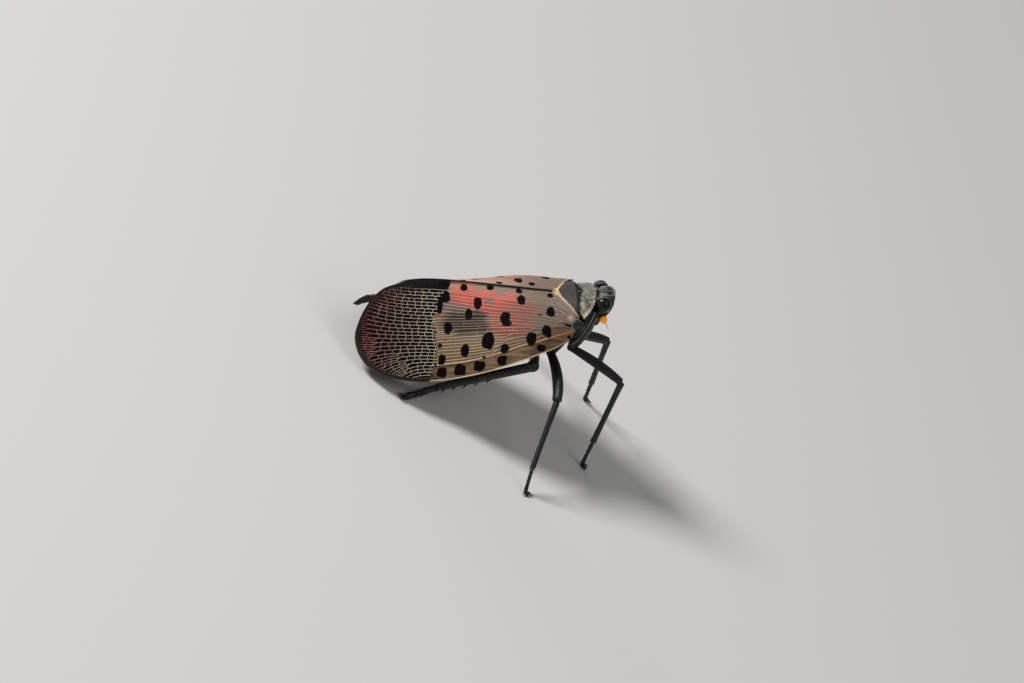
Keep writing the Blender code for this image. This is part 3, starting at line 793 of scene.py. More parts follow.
def cross_veins(rows, stations, pitch, chance, order, narrowest=0.12):
    """Short veins from each row to the next one that is there, set like the joints of brickwork."""
    joints = []
    rows = np.array(rows)
    for k, upper in enumerate(rows[:-1]):
        there = ~np.isnan(rows[k + 1 :])
        lower = rows[k + 1 :][there.argmax(axis=0), np.arange(len(stations))]
        both = np.flatnonzero(~np.isnan(upper + lower))
        if len(both) < 4:
            continue
        t = stations[both[0]] + pitch * (0.35 + 0.5 * (k % 2))
        while t < stations[both[-1]] - 0.08:
            slant = order.uniform(-0.05, 0.09)
            above = np.interp(t, stations[both], upper[both])
            below = np.interp(t + slant, stations[both], lower[both])
            if narrowest < below - above < 0.9 and order.random() < chance:
                middle = (t + 0.6 * slant, (above + below) / 2)
                joints.append(np.array([(t, above), middle, (t + slant, below)]))
            t += pitch * order.uniform(0.8, 1.25)
    return joints


print(len(net_rows(np.arange(12.3, WING_TIP, VEIN_STEP))), "rows in the net")

# %% Raised strips for the veins
VEIN_SINK = 0.03


def vein_strip(shape, line, width, height, side):
    """A low rounded ridge along a line of (t, s) places on one wing."""
    line = np.asarray(line)
    along = np.gradient(line, axis=0)
    along /= np.linalg.norm(along, axis=1)[:, None] + 1e-9
    across = np.stack([-along[:, 1], along[:, 0]], axis=1)
    widths = np.broadcast_to(np.asarray(width, float), len(line))[:, None]
    heights = np.broadcast_to(np.asarray(height, float), len(line))
    rings, places = [], []
    for offset, rise in ((-0.5, -1), (-0.28, 0.8), (0.28, 0.8), (0.5, -1)):
        spots = line + across * offset * widths
        lift = heights * rise if rise > 0 else -VEIN_SINK
        rings.append(roof(spots[:, 0], spots[:, 1], side, lift)[0])
        places.append(np.column_stack([spots, 0 * spots[:, 0]]))
    points, places = (np.stack(found, axis=1).reshape(-1, 3) for found in (rings, places))
    shape.add(points, ring_faces(len(line), 4), flat=places)


def pieces_of_row(row, stations, keep):
    """The unbroken stretches of a row that lie where keep says."""
    good = ~np.isnan(row) & keep
    edges = np.flatnonzero(np.diff(np.concatenate([[0], good.astype(int), [0]])))
    return [
        np.column_stack([stations[a:b], row[a:b]])
        for a, b in zip(edges[::2], edges[1::2]) if b - a > 2
    ]


def inside_wing(row, stations, inset):
    return (row > inner_edge(stations) + inset) & (row < costal_edge(stations) - inset)


print("strips lie", VEIN_SINK, "mm deep in the sheet")


# %% All the veins of one forewing
def make_veins(side):
    """All raised veins of one forewing, as one shape."""
    order = random.Random(VEIN_SEED)
    shape = Shape()
    stations = np.arange(0.5, 14.2, VEIN_STEP)
    rows = basal_rows(stations)
    trimmed = []
    for row, start in zip(rows, through(NET_STARTS, np.nan_to_num(np.array(rows)))):
        shown = (stations < start + 0.15) & inside_wing(row, stations, 0.08)
        for line in pieces_of_row(row, stations, shown):
            vein_strip(shape, line, 0.085 + 0.05 * np.exp(-line[:, 0] / 1.5), 0.035, side)
        before_net = (stations < start) & inside_wing(row, stations, 0.05)
        trimmed.append(np.where(before_net, row, np.nan))
    costal = eased(MAIN_VEINS[COSTAL_VEIN], stations)
    vein_strip(shape, np.column_stack([stations, costal])[:-6], 0.17, 0.07, side)
    for joint in cross_veins(trimmed, stations, 1.3, 0.3, order, 0.2):
        if joint[0, 0] > 5:
            vein_strip(shape, joint, 0.045, 0.02, side)
    margin_row = np.where(stations < 13.2, costal_edge(stations) - 0.12, np.nan)
    for joint in cross_veins([costal, margin_row], stations, 0.42, 1.0, order):
        if joint[0, 0] > 1.6:
            vein_strip(shape, joint + np.array([(0, 0), (0.2, 0), (0.42, 0)]), 0.04, 0.012, side)
    add_net(shape, side, order)
    add_border(shape, side, order)
    return shape


def add_net(shape, side, order):
    """The rows and joints of the apical net, cut off at the dark border."""
    stations = np.arange(12.3, WING_TIP, VEIN_STEP)
    clipped = []
    for row in net_rows(stations):
        depth = wing_values(stations, np.where(np.isnan(row), 5.0, row), side)["net"][:, 0]
        kept = ~np.isnan(row) & (depth > -0.02) & inside_wing(row, stations, 0)
        clipped.append(np.where(kept, row, np.nan))
    for row in clipped:
        for line in pieces_of_row(row, stations, stations > 0):
            wobble = [order.uniform(-0.018, 0.018) for _ in stations]
            wobble = np.interp(line[:, 0], stations, wobble)
            thick = 0.052 + 0.026 * (1 - smooth_step(13.5, 17.5, line[:, 0]))
            line = line + np.column_stack([0 * wobble, wobble])
            vein_strip(shape, line, thick, 0.04, side)
    for joint in cross_veins(clipped, stations, 0.64, 0.97, order):
        vein_strip(shape, joint, 0.064 if joint[0, 0] < 16 else 0.048, 0.035, side)


BORDER_PITCH = 0.16
WING_MIDDLE = np.array((15.0, 4.8))


def add_border(shape, side, order):
    """The thickened rim, and the fine veinlets that cross the dark border all round the apex."""
    turns = np.linspace(0.02, math.pi / 2, 220)
    rim_t = WING_ROOT + (WING_TIP - 0.002 - WING_ROOT) * np.sin(turns)
    outer = np.column_stack([rim_t, costal_edge(rim_t) - 0.05])
    inner = np.column_stack([rim_t, inner_edge(rim_t) + 0.05])
    vein_strip(shape, outer, 0.12, 0.05, side)
    vein_strip(shape, inner, 0.09, 0.045, side)
    rim = np.concatenate([outer, inner[::-1]])
    run = run_along(rim)
    for at in np.arange(0, run[-1], BORDER_PITCH):
        end = np.array([np.interp(at, run, rim[:, axis]) for axis in range(2)])
        if end[0] < 13.4:
            continue
        seam = end[1] < 1.2 and end[0] < 18.5
        inward = np.array((order.uniform(-0.2, 0.5), 1.0)) if seam else unit(WING_MIDDLE - end)
        length = (0.55 if seam else 0.34) * order.uniform(0.9, 1.05)
        start = end + inward * length
        middle = (start + end) / 2 + order.uniform(-0.05, 0.05)
        vein_strip(shape, np.array([start, middle, end]), 0.05, 0.022, side)


print("veins are drawn from seed", VEIN_SEED)

# %% The wing membrane as a thin closed sheet
MEMBRANE = 0.09
SHEET_ROWS = (150, 56)
SHEET_TURNS_AT = 15.0
SHEET_COLUMNS = 90


def make_membrane(side):
    """The sheet between the veins, fine enough for the marks, hollowed a little between veins."""
    before = np.linspace(WING_ROOT, SHEET_TURNS_AT, SHEET_ROWS[0], endpoint=False)
    turns = np.linspace(0, math.radians(88.8), SHEET_ROWS[1])
    after = SHEET_TURNS_AT + (WING_TIP - SHEET_TURNS_AT) * np.sin(turns)
    t = np.concatenate([before, after])[:, None]
    v = np.linspace(0, 1, SHEET_COLUMNS)[None]
    s = inner_edge(t) + (costal_edge(t) - inner_edge(t)) * v
    t = np.broadcast_to(t, s.shape)
    ripple = 0.012 * np.sin(s * 8.4 + 0.6 * np.sin(t)) * smooth_step(0, 1, t - 1)
    outer, normal = roof(t, s, side, ripple)
    return slab(outer, outer - normal * MEMBRANE, **wing_values(t, s, side))


print("wing tools are ready")

# %% [markdown]
# ## Wing colours
#
# On the real wing the parchment colour shifts from grey at the seam over a salmon flush to tan at
# the outer edge. The veins are paler than the sheet in the basal part; in the net they are cream
# at first, then pinkish, and red near the tip. Both objects share one recipe for the ground
# colour, and the veins lighten it, so a spot blackens the vein that crosses it as well.


# %% The ground colour of the forewings
def wing_ground(recipe):
    """The ground colour of the wing and the masks that sheet and veins both need."""
    ramp, noise, mix = recipe.ramp, recipe.noise, recipe.mix
    place = recipe.attribute("place")
    t, s, margin = recipe.parts(place)
    spot, past, red = recipe.read("marks")
    grey, dark, beyond_costal = recipe.read("zones")
    pale_spot, slit, brown_spot = recipe.read("hinge")
    ragged = noise(3.2, 2.0) - 0.5
    cloudy = noise(0.7, 3.0) - 0.5
    streaks = noise(1.0, 2.0, recipe.stretch(place, (0.5, 3.0, 0.0)))
    long_streaks = noise(1.0, 3.0, recipe.stretch(place, (0.4, 2.4, 0.0)))
    in_dark = ramp(dark + cloudy * 0.6, 0.4, -0.3)
    under_costal = ramp(beyond_costal, -1.3, -0.3) * ramp(t, 12.0, 9.0)
    cell = mix(ramp(long_streaks, 0.35, 0.65), (116, 90, 68), (180, 150, 114))
    cell = mix(ramp(t, 2.2, 1.2) * 0.7, cell, (186, 146, 96))
    rich = mix(streaks, (208, 58, 54), (248, 134, 118))
    faded = mix(streaks, (126, 66, 58), (186, 122, 106))
    forward = ramp(s * 0.9 - t * 0.5 + cloudy * 1.4, -2.7, -0.8)
    # Painted sheen: the left wing, seen edge-on, is made less red near the seam and duller all over than
    # the right.
    left = ramp(recipe.parts(recipe.here)[1], -0.02, 0.02)
    flush = ramp(red + cloudy * 0.9, -0.3, 0.5) * ramp(t + cloudy * 2, 2.2, 4.6)
    flush = flush * ramp(grey + cloudy * 0.4, -0.24, 0.16) * (1 - left * ramp(s, 4.2, 2.4) * 0.65)
    before_net = ramp(past, -1.0, -0.2) * ramp(s, 2.2, 3.4) * ramp(s, 7.4, 6.0)
    shield_line = ramp(margin, 0.16, 0.11) * ramp(margin, 0.02, 0.05) * ramp(t, 2.75, 2.45)
    ground = recipe.layers(
        (134, 118, 106),
        (ramp(s + cloudy * 1.5, 4.2, 6.2), (162, 133, 98)),
        (ramp(t + cloudy, 4.0, 1.6) * 0.6, (146, 130, 112)),
        (in_dark * 0.92, (50, 43, 39)),
        (under_costal * 0.6, (120, 92, 80)),
        (ramp(beyond_costal, -0.05, 0.1) * 0.85, cell),
        # Painted sheen: a dull pinkish taupe laid over the left wing only.
        (left * 0.5, (132, 100, 96)),
        (flush * 0.95, mix(forward, rich, faded)),
        (before_net * ramp(long_streaks, 0.3, 0.6) * 0.6, (188, 128, 92)),
        (ramp(margin, 0.14, 0.05) * ramp(s, 4.0, 5.0) * 0.9, (222, 204, 168)),
        (ramp(brown_spot + ragged * 0.1, 0.1, -0.05) * 0.8, (150, 84, 50)),
        (ramp(pale_spot, 0.16, -0.2) * 0.9, (228, 196, 176)),
        (ramp(slit, 0.06, -0.03), (24, 17, 15)),
        # Painted contact shade: a dark line along the wing's inner edge, beside the shield and along the
        # seam.
        (ramp(margin, 0.09, 0.04) * ramp(s, 2.8, 2.5) * 0.9, (40, 29, 26)),
        (shield_line * ramp(s, 2.9, 2.6), (222, 202, 178)),
    )
    black = mix(noise(2.0), (8, 4, 6), (20, 10, 12))
    return ground, black, spot + ragged * 0.10, past + ragged * 0.3, flush, in_dark, t, s


print("the ground colour is ready")


# %% Sheets and veins of the forewings
def make_membrane_material():
    recipe = Recipe("forewing_sheet", 0.62, Specular_IOR_Level=0.07)
    ramp, noise, mix = recipe.ramp, recipe.noise, recipe.mix
    ground, black, spot, past, _, _, _, s = wing_ground(recipe)
    fine = noise(9.0, 3.0)
    rim = mix(noise(5.0), (24, 20, 17), (44, 38, 31))
    seam = mix(noise(5.0), (12, 9, 9), (28, 22, 22))
    apical = mix(ramp(recipe.read("net")[0], 0.03, -0.05), black, mix(ramp(s, 2.0, 5.5), seam, rim))
    colour = recipe.layers(
        ground,
        (fine * 0.4 + 0.14, (70, 56, 50)),
        (ramp(past, -0.04, 0.04), apical),
        (ramp(spot, 0.03, -0.03), black),
    )
    return recipe.paint(colour, fine, 0.02)


def make_vein_material():
    recipe = Recipe("forewing_veins", 0.55, Specular_IOR_Level=0.14)
    ramp, mix = recipe.ramp, recipe.mix
    ground, black, spot, past, flush, in_dark, t, s = wing_ground(recipe)
    beyond_costal = recipe.read("zones")[2]
    net, _, from_inner = recipe.read("net")
    mottled = recipe.noise(0.9)
    towards_tip = t + mottled * 1.2
    reddest = ramp(t + mottled, 19.2, 20.0) * ramp(s, 1.6, 3.2) * ramp(s, 6.2, 4.6)
    upper = ramp(s - t * 0.35 + 5.0, 0.9, 0.2) * ramp(mottled, 0.45, 0.58)
    apical = recipe.layers(
        (204, 194, 170),
        (ramp(towards_tip, 14.2, 16.6), (184, 168, 150)),
        (ramp(towards_tip, 16.8, 19.0), (168, 126, 116)),
        (reddest * 0.6, (158, 52, 58)),
        (upper * 0.4, (120, 32, 46)),
        (ramp(from_inner, 1.3, 0.6) * 0.7, (50, 40, 40)),
        (ramp(net, 0.02, -0.06), mix(ramp(s, 2.0, 5.5), (40, 34, 33), (66, 60, 51))),
    )
    cream = mix(flush * 0.75, (214, 196, 170), (244, 166, 148))
    paler = (ramp(t, 3.0, 8.0) * 0.42 + 0.22) * ramp(from_inner, 0.1, 0.2)
    costal = ramp(beyond_costal, -0.14, -0.06) * ramp(beyond_costal, 0.14, 0.06)
    along_costal = mix(ramp(t, 2.6, 5.0), (206, 142, 92), (192, 160, 122))
    return recipe.paint(recipe.layers(
        ground,
        (paler * (1 - in_dark * 0.4), cream),
        (costal * ramp(t, 11.5, 8.0), along_costal),
        (ramp(past, -0.04, 0.04), apical),
        (ramp(spot, 0.03, -0.03), black),
    ))


def make_valued_veins(side):
    veins = make_veins(side)
    t, s, _ = np.concatenate(veins.values.pop("flat")).T
    veins.values = {key: [found] for key, found in wing_values(t, s, side).items()}
    return veins


add_pairs(
    ("forewing_*_sheet", make_membrane, make_membrane_material(), "forewing", "forewing_*"),
    ("forewing_*_veins", make_valued_veins, make_vein_material(), "forewing", "forewing_*"),
)

# %% [markdown]
# ## Hindwings
#
# The hindwings are folded like a fan under the forewings and show only from below and from the
# side: red with black spots near the root, a white band, and a black tip. A sheet with pleats
# gives the fan, and its colours follow the same flat wing paper as the forewing.

# %% The pleated hindwings
HINDWING_ROOT = 1.3
HINDWING_TIP = 15.2
HINDWING_UNDER = -0.86
HINDWING_THICKNESS = 0.08
PLEATS = 13


def make_hindwing(side):
    turns = np.linspace(0, math.radians(84), 90)[:, None]
    t = HINDWING_ROOT + (HINDWING_TIP - HINDWING_ROOT) * np.sin(turns)
    tail = np.sqrt(1 - (turns / math.radians(90)) ** 4)
    v = np.linspace(0, 1, 105)[None]
    near = 1.2 + 3.0 * (1 - smooth_step(1.5, 5.5, t)) + 0.9 * smooth_step(7, 13, t)
    s = near + (costal_edge(t) - 0.8 - near) * tail * v
    t, v = np.broadcast_to(t, s.shape), np.broadcast_to(v, s.shape)
    pleat = 0.09 * np.cos(2 * math.pi * PLEATS * v) * smooth_step(0, 1, t - HINDWING_ROOT) - 0.1
    outer, normal = roof(t, s, side, HINDWING_UNDER + pleat)
    return slab(outer, outer - normal * HINDWING_THICKNESS, place=columns(t, s, v))


def make_hindwing_material():
    recipe = Recipe("hindwing_sheet", 0.5)
    outward = recipe.read("place")[0] + (recipe.noise(0.9) - 0.5)
    dark = recipe.mix(recipe.noise(3.0), (20, 16, 16), (36, 30, 30))
    return recipe.paint(recipe.layers(
        recipe.mix(recipe.noise(2.0), (176, 30, 28), (208, 52, 40)),
        (recipe.ramp(recipe.cells(0.62), 0.34, 0.28), dark),
        (recipe.ramp(outward, 8.4, 8.8), (226, 218, 200)),
        (recipe.ramp(outward, 10.4, 10.8), dark),
    ))


add_pairs(("hindwing_*_sheet", make_hindwing, make_hindwing_material(), "hindwing", "hindwing_*"))

# %% [markdown]
# ## The body
#
# Thorax and abdomen are one continuous skin, so no seam may show between them. Lofted rings give
# each part and a voxel remesh melts them into one. The abdomen keeps a small step where one
# segment slides under the next, and each segment is yellow with a broad black band.


# %% One skin for thorax and abdomen
# Place along the body, top, bottom and half width of each section.
THORAX = (
    (1.9, 0.5, -0.7, 0.6), (0.95, 0.35, -1.5, 0.95), (0.4, 0.6, -2.4, 1.7), (-0.5, 0.35, -3.3, 2.15),
    (-1.8, 0.0, -3.75, 2.15), (-3.0, -0.25, -3.8, 2.15), (-3.7, -0.5, -3.6, 2.05), (-4.4, -0.8, -3.3, 1.8),
)
ABDOMEN = (
    (-4.0, -0.7, -3.5, 1.95), (-5.9, -0.8, -3.9, 2.1), (-7.8, -0.85, -4.1, 2.1), (-9.7, -0.95, -4.0, 1.95),
    (-11.5, -1.2, -3.8, 1.6), (-13.0, -1.6, -3.4, 1.1), (-14.15, -2.1, -3.0, 0.5),
)
SEGMENT_PROFILE = ((0.0, -0.16), (0.1, -0.06), (0.3, 0.0), (0.7, 0.03), (0.97, 0.0))
HIPS = (((1.3, -1.4, -1.0), 0.5), ((-1.0, -1.7, -2.8), 0.72), ((-2.6, -1.1, -3.0), 0.8))
FLANKS = (((-0.7, -1.75, -1.3), (0.9, 0.6, 1.1)), ((-2.5, -1.75, -1.6), (0.9, 0.55, 1.2)))
RING_SIDES = 48


def squared(wave, power):
    """A sine or cosine that bulges out, so that the ring it draws is rounder or more square."""
    return np.sign(wave) * np.abs(wave) ** power


def body_ring(x, top, bottom, half_width, grow=0.0, power=2.2):
    turns = ring_turns(RING_SIDES)
    across = squared(np.cos(turns), 2 / power) * (half_width + grow)
    height = (top + bottom) / 2 + squared(np.sin(turns), 2 / power) * ((top - bottom) / 2 + grow)
    return columns(np.full(RING_SIDES, x), across, height)


def make_body():
    shape = Shape()
    places = np.linspace(0, len(THORAX) - 1, 40)
    rows = np.column_stack([np.interp(places, range(len(THORAX)), sizes) for sizes in zip(*THORAX)])
    shape.add_rings([body_ring(*row) for row in rows])
    for (x, y, z), reach in HIPS:
        for side in (-1, 1):
            shape.add(*ball(mirror((x, y, z + 0.2), side), (reach, reach * 0.8, reach)))
    for side in (-1, 1):
        for centre, radii in FLANKS:
            shape.add(*ball(mirror(centre, side), radii))
    rings = []
    for fore, aft in zip(ABDOMEN, ABDOMEN[1:]):
        for share, grow in SEGMENT_PROFILE:
            row = [a + (b - a) * share for a, b in zip(fore, aft)]
            rings.append(body_ring(*row, grow=grow, power=2.0))
    shape.add_rings(rings)
    shape.add(*ball((-14.0, 0, -2.6), (0.45, 0.42, 0.4)))
    return melted(shape, 0.075)


def make_body_material():
    recipe = Recipe("body_skin", 0.45)
    ramp, mix = recipe.ramp, recipe.mix
    x = recipe.parts(recipe.here)[0]
    cloudy = recipe.noise(1.6, 3.0)
    black = mix(cloudy, (24, 21, 21), (44, 39, 38))
    yellow = mix(recipe.noise(1.2, 3.0), (196, 158, 52), (222, 188, 92))
    first, second = ABDOMEN[0][0], ABDOMEN[1][0]
    steps = (x - first) * (1 / (second - first))
    phase = recipe.node("ShaderNodeMath", {"operation": "FRACT"}, {0: steps}) + cloudy * 0.12
    band = ramp(phase, 0.36, 0.42) * ramp(phase, 1.02, 0.98)
    colour = mix(ramp(x + cloudy * 0.4, -3.7, -4.1), black, mix(band, yellow, black))
    return recipe.paint(colour, recipe.noise(8.0, 4.0), 0.04)


add_piece("body_skin", make_body(), make_body_material(), "abdomen", ["thorax", "abdomen"])

# %% [markdown]
# ## The head
#
# Seen from above, the head is short and blunt with a raised rim round its crown. In front a long
# face drops to the beak, with keels down it. The parts are simple balls, tubes and lofts, and
# melting them together rounds every joint as a real shell does. The eyes stay apart.

# %% Levels and keels of the head
# Height, rear, front and half width of the head at each level.
HEAD_LEVELS = (
    (-1.45, 1.75, 2.25, 0.45), (-0.9, 1.5, 2.55, 0.8), (-0.3, 1.35, 2.85, 1.0), (0.4, 1.25, 3.1, 1.05),
    (0.95, 1.3, 3.26, 1.05), (1.3, 1.5, 3.30, 1.0), (1.65, 1.7, 3.26, 0.92), (1.9, 1.95, 3.05, 0.68),
)
HEAD_SQUARENESS = 0.77
EYE_CENTRE = np.array((2.14, -1.29, 1.2))
EYE_RADII = np.array((0.77, 0.66, 0.78))
PEDICEL_CENTRE = np.array((2.48, -1.5, -0.38))
KEELS = (
    (((2.0, 0.62, 1.82), (2.7, 0.72, 1.88), (3.08, 0.55, 1.9), (3.28, 0.0, 1.92)), 0.09),
    (((3.22, 0.3, 1.85), (3.31, 0.36, 1.2), (3.1, 0.36, 0.3), (2.75, 0.3, -0.6), (2.4, 0.2, -1.2)), 0.07),
    (((3.04, 0.7, 1.8), (3.16, 0.92, 1.2), (2.95, 1.0, 0.3), (2.6, 0.85, -0.5), (2.3, 0.5, -1.25)), 0.08),
    (((2.0, 0.0, 1.93), (2.6, 0.0, 1.96), (3.22, 0.0, 1.94)), 0.06),
    (((1.7, 0.75, 0.2), (2.1, 1.08, 0.25), (2.7, 1.06, 0.3)), 0.1),
)
CHEEKS = (
    ((2.15, -0.85, 0.3), (0.62, 0.42, 0.62), 20, 12),
    ((2.42, -1.12, -0.36), (0.34, 0.3, 0.34), 16, 10),
    ((1.75, -0.75, 1.1), (0.45, 0.5, 0.6), 16, 10),
)


print(len(HEAD_LEVELS), "levels and", len(KEELS), "keels")


# %% Head shell
def keel_lines(side, count):
    return [curve_through(mirror(route, -side), count) for route, _ in KEELS]


def make_head():
    shape = Shape()
    levels = np.array(HEAD_LEVELS).T
    turns = ring_turns(RING_SIDES)
    rings = []
    for z in np.linspace(levels[0, 0], levels[0, -1], 40):
        rear, front, half = (np.interp(z, levels[0], sizes) for sizes in levels[1:])
        x = (rear + front) / 2 + squared(np.cos(turns), HEAD_SQUARENESS) * (front - rear) / 2
        rings.append(columns(x, squared(np.sin(turns), HEAD_SQUARENESS) * half, 0 * x + z))
    shape.add_rings(rings)
    for side in (-1, 1):
        for line, (_, radius) in zip(keel_lines(side, 24), KEELS):
            shape.add(*tube(line, radius, 8))
        for centre, *size in CHEEKS:
            shape.add(*ball(mirror(centre, side), *size))
    shape.add(*ball((2.15, 0, -1.5), (0.4, 0.42, 0.75)))
    shape.add(*tube([(0.7, 0, -0.3), (1.3, 0, 0.1), (2.0, 0, 0.3)], [0.75, 0.8, 0.8], 24))
    skin = melted(shape, 0.05)
    nearest = np.full(skin.count, 9.0)
    for point in np.concatenate(keel_lines(-1, 50) + keel_lines(1, 50)):
        nearest = np.minimum(nearest, np.linalg.norm(skin.points[0] - point, axis=1))
    skin.values["keel"] = [columns(nearest, nearest, nearest)]
    return skin


def shell_black(recipe, dark, light):
    """Two near blacks in clouds."""
    return recipe.mix(recipe.ramp(recipe.noise(2.4, 4.0), 0.35, 0.75), dark, light)


def make_shell_material(name, dark, light, roughness, wrinkle_scale, depth):
    """A black insect shell with fine wrinkles, here duller and there glossier."""
    recipe = Recipe(name, roughness)
    recipe.feed("Roughness", recipe.noise(3.0) * 0.25 + (roughness - 0.12))
    return recipe.paint(shell_black(recipe, dark, light), recipe.noise(wrinkle_scale, 4.0), depth)


def make_crown_material():
    """Black shell, grey on the flat top of the crown, its keels there pale: partly their colour, partly
    painted highlight.
    """
    recipe = Recipe("crown_shell", 0.42)
    ramp, noise = recipe.ramp, recipe.noise
    x, y, z = recipe.parts(recipe.here)
    beside_middle = ramp(y * y, 0.04, 0.12) * ramp(y * y, 0.62, 0.42)
    top = ramp(z, 1.62, 1.78) * beside_middle * ramp(x + noise(2.2, 3.0) * 0.5, 2.95, 2.6)
    keel = recipe.read("keel")[0] + noise(5.0) * 0.05
    pale = (150, 146, 138)
    colour = recipe.layers(
        shell_black(recipe, (12, 11, 11), (42, 39, 36)),
        (top * 0.42, pale),
        # Pale keels only high on the crown: partly the keels' own colour, partly a painted highlight where
        # light falls on top.
        (ramp(keel, 0.16, 0.11) * ramp(z, 1.2, 1.7) * 0.36, pale),
    )
    return recipe.paint(colour, noise(7.0, 4.0), 0.05)


add_piece("head_shell", make_head(), make_crown_material(), "shell_black", ["head"])


# %% Eyes with their pale rims
RIM_INSET = 0.3
RIM_POINTS = 49


def make_eye(side):
    return Shape().add(*ball(mirror(EYE_CENTRE, side), EYE_RADII, 64, 40))


def make_rim(side):
    turns = np.linspace(0, 2 * math.pi, RIM_POINTS)
    reach = math.sqrt(1 - RIM_INSET**2) + 0.04
    x, z = EYE_RADII[0] * reach * np.cos(turns), EYE_RADII[2] * reach * np.sin(turns)
    ring = columns(x, np.full(RIM_POINTS, -side * RIM_INSET * EYE_RADII[1]), z)
    return Shape().add(*tube(mirror(EYE_CENTRE, side) + ring, 0.05 + 0.015 * np.sin(turns), 10))


def make_eye_material():
    recipe = Recipe("eye_gloss", 0.34, Specular_IOR_Level=0.25, Coat_Weight=0.2, Coat_Roughness=0.16)
    return recipe.paint(recipe.mix(recipe.noise(1.4), (5, 4, 5), (18, 13, 13)), recipe.cells(22.0), 0.006)


def make_rim_material():
    recipe = Recipe("eye_rim", 0.5)
    return recipe.paint(recipe.mix(recipe.noise(3.0, 3.0), (70, 67, 63), (150, 145, 137)))


add_pairs(
    ("eye_ball_*", make_eye, make_eye_material(), "eye", "eye_*"),
    ("eye_rim_*", make_rim, make_rim_material(), "shell_black"),
)

# %% [markdown]
# ## Antennae and beak
#
# Under each eye sits a short antenna: a fat orange bulb covered in sensory bumps, and a black
# bristle as fine as a hair. The bumps are real, pushed out of a fine ball. The beak lies folded
# back between the legs in four joints.

# %% Antennae
PEDICEL_RADIUS = 0.35
BUMP_COUNT = 90


def make_pedicel(side):
    centre = mirror(PEDICEL_CENTRE, side)
    points, faces = ball((0, 0, 0), (1, 1, 1), 72, 48)
    k = np.arange(BUMP_COUNT) + 0.5
    polar, turn = np.arccos(1 - 2 * k / BUMP_COUNT), math.pi * (1 + 5**0.5) * k
    knobs = columns(np.cos(turn) * np.sin(polar), np.sin(turn) * np.sin(polar), np.cos(polar))
    nearest = (points @ knobs.T).max(axis=1)
    swell = 1 + 0.07 * smooth_step(math.cos(0.19), math.cos(0.04), nearest)
    shape = Shape().add(points * swell[:, None] * PEDICEL_RADIUS * 0.95 + centre, faces)
    root = mirror((2.38, -1.0, -0.38), side)
    return shape.add(*tube([root, (root + centre) / 2, centre], [0.2, 0.21, 0.24], 16))


def make_bristle(side):
    centre = mirror(PEDICEL_CENTRE, side)
    start, end = (centre + mirror(reach, side) for reach in ((0.16, -0.2, -0.2), (0.5, -0.75, -0.75)))
    line = curve_through([start, (start + end) / 2 + mirror((0.05, -0.03, 0.04), side), end], 14)
    shape = Shape().add(*tube(line, 0.035 * np.linspace(1, 0.25, 14), 8))
    return shape.add(*ball(start, (0.075, 0.075, 0.075), 16, 10))


def make_pedicel_material():
    # The bulb glows a little: a painted glow standing in for light shining through it.
    recipe = Recipe("antenna_orange", 0.35, Emission_Strength=0.34)
    colour = recipe.mix(recipe.noise(4.0), (255, 140, 12), (255, 168, 40))
    recipe.feed("Emission Color", colour)
    return recipe.paint(colour)


bristle_finish = make_shell_material("bristle_black", (14, 12, 12), (34, 29, 27), 0.4, 9.0, 0.01)
add_pairs(
    ("antenna_*_bulb", make_pedicel, make_pedicel_material(), "antenna", "antenna_*"),
    ("antenna_*_bristle", make_bristle, bristle_finish, "shell_black"),
)

# %% The beak
BEAK_ROUTE = ((2.05, 0, -1.5), (1.5, 0, -2.6), (0.2, 0, -4.0), (-1.6, 0, -4.5), (-3.4, 0, -4.55))
BEAK_JOINTS = (
    (0.0, 0.34, 0.36, 0.30), (0.33, 0.62, 0.30, 0.24), (0.61, 0.97, 0.24, 0.17), (0.96, 1.0, 0.13, 0.07),
)


def make_beak():
    line = curve_through(BEAK_ROUTE, 120)
    shape = Shape()
    for start, end, thick, thin in BEAK_JOINTS:
        part = line[int(start * 119) : int(end * 119) + 1]
        shares = np.linspace(0, 1, len(part))
        swell = 1 - 0.35 * (2 * shares - 1) ** 8 + 0.08 * np.sin(shares * 9)
        shape.add(*tube(part, (thick + (thin - thick) * shares) * swell, 16, flat=0.9))
    return shape


beak_finish = make_shell_material("head_shell", (14, 12, 12), (52, 48, 45), 0.4, 7.0, 0.05)
add_piece("beak", make_beak(), beak_finish, "shell_black", ["rostrum"])

# %% [markdown]
# ## Collar and shield
#
# The pronotum is a broad rough collar with a keel in the middle, turned down over the shoulders.
# Behind it the smooth dark mesonotum fills the space between the wing roots, with three faint
# keels and a cream edge. Both are plates with a drawn outline and computed relief, since a keel
# or a wrinkle is a simple function of the place on the plate.

# %% The collar
COLLAR_HALF_WIDTH = 2.7
COLLAR_THICKNESS = 0.2
COLLAR_SEED = 3


def hump(distance, width):
    """1 on a line, and falling off smoothly within this width of it."""
    return np.exp(-((distance / width) ** 2))


def wrinkles(points, scale, depth, seed):
    """Small lumps: a sum of waves in mixed directions, the same on each run."""
    waves = np.random.default_rng(seed)
    total = np.zeros(len(points))
    for octave in range(14):
        direction = waves.normal(size=3)
        direction *= scale * waves.uniform(0.7, 2.2) / np.linalg.norm(direction)
        total += np.sin(points @ direction + waves.uniform(0, 6.3)) / (1 + 0.15 * octave)
    return total * depth / 3


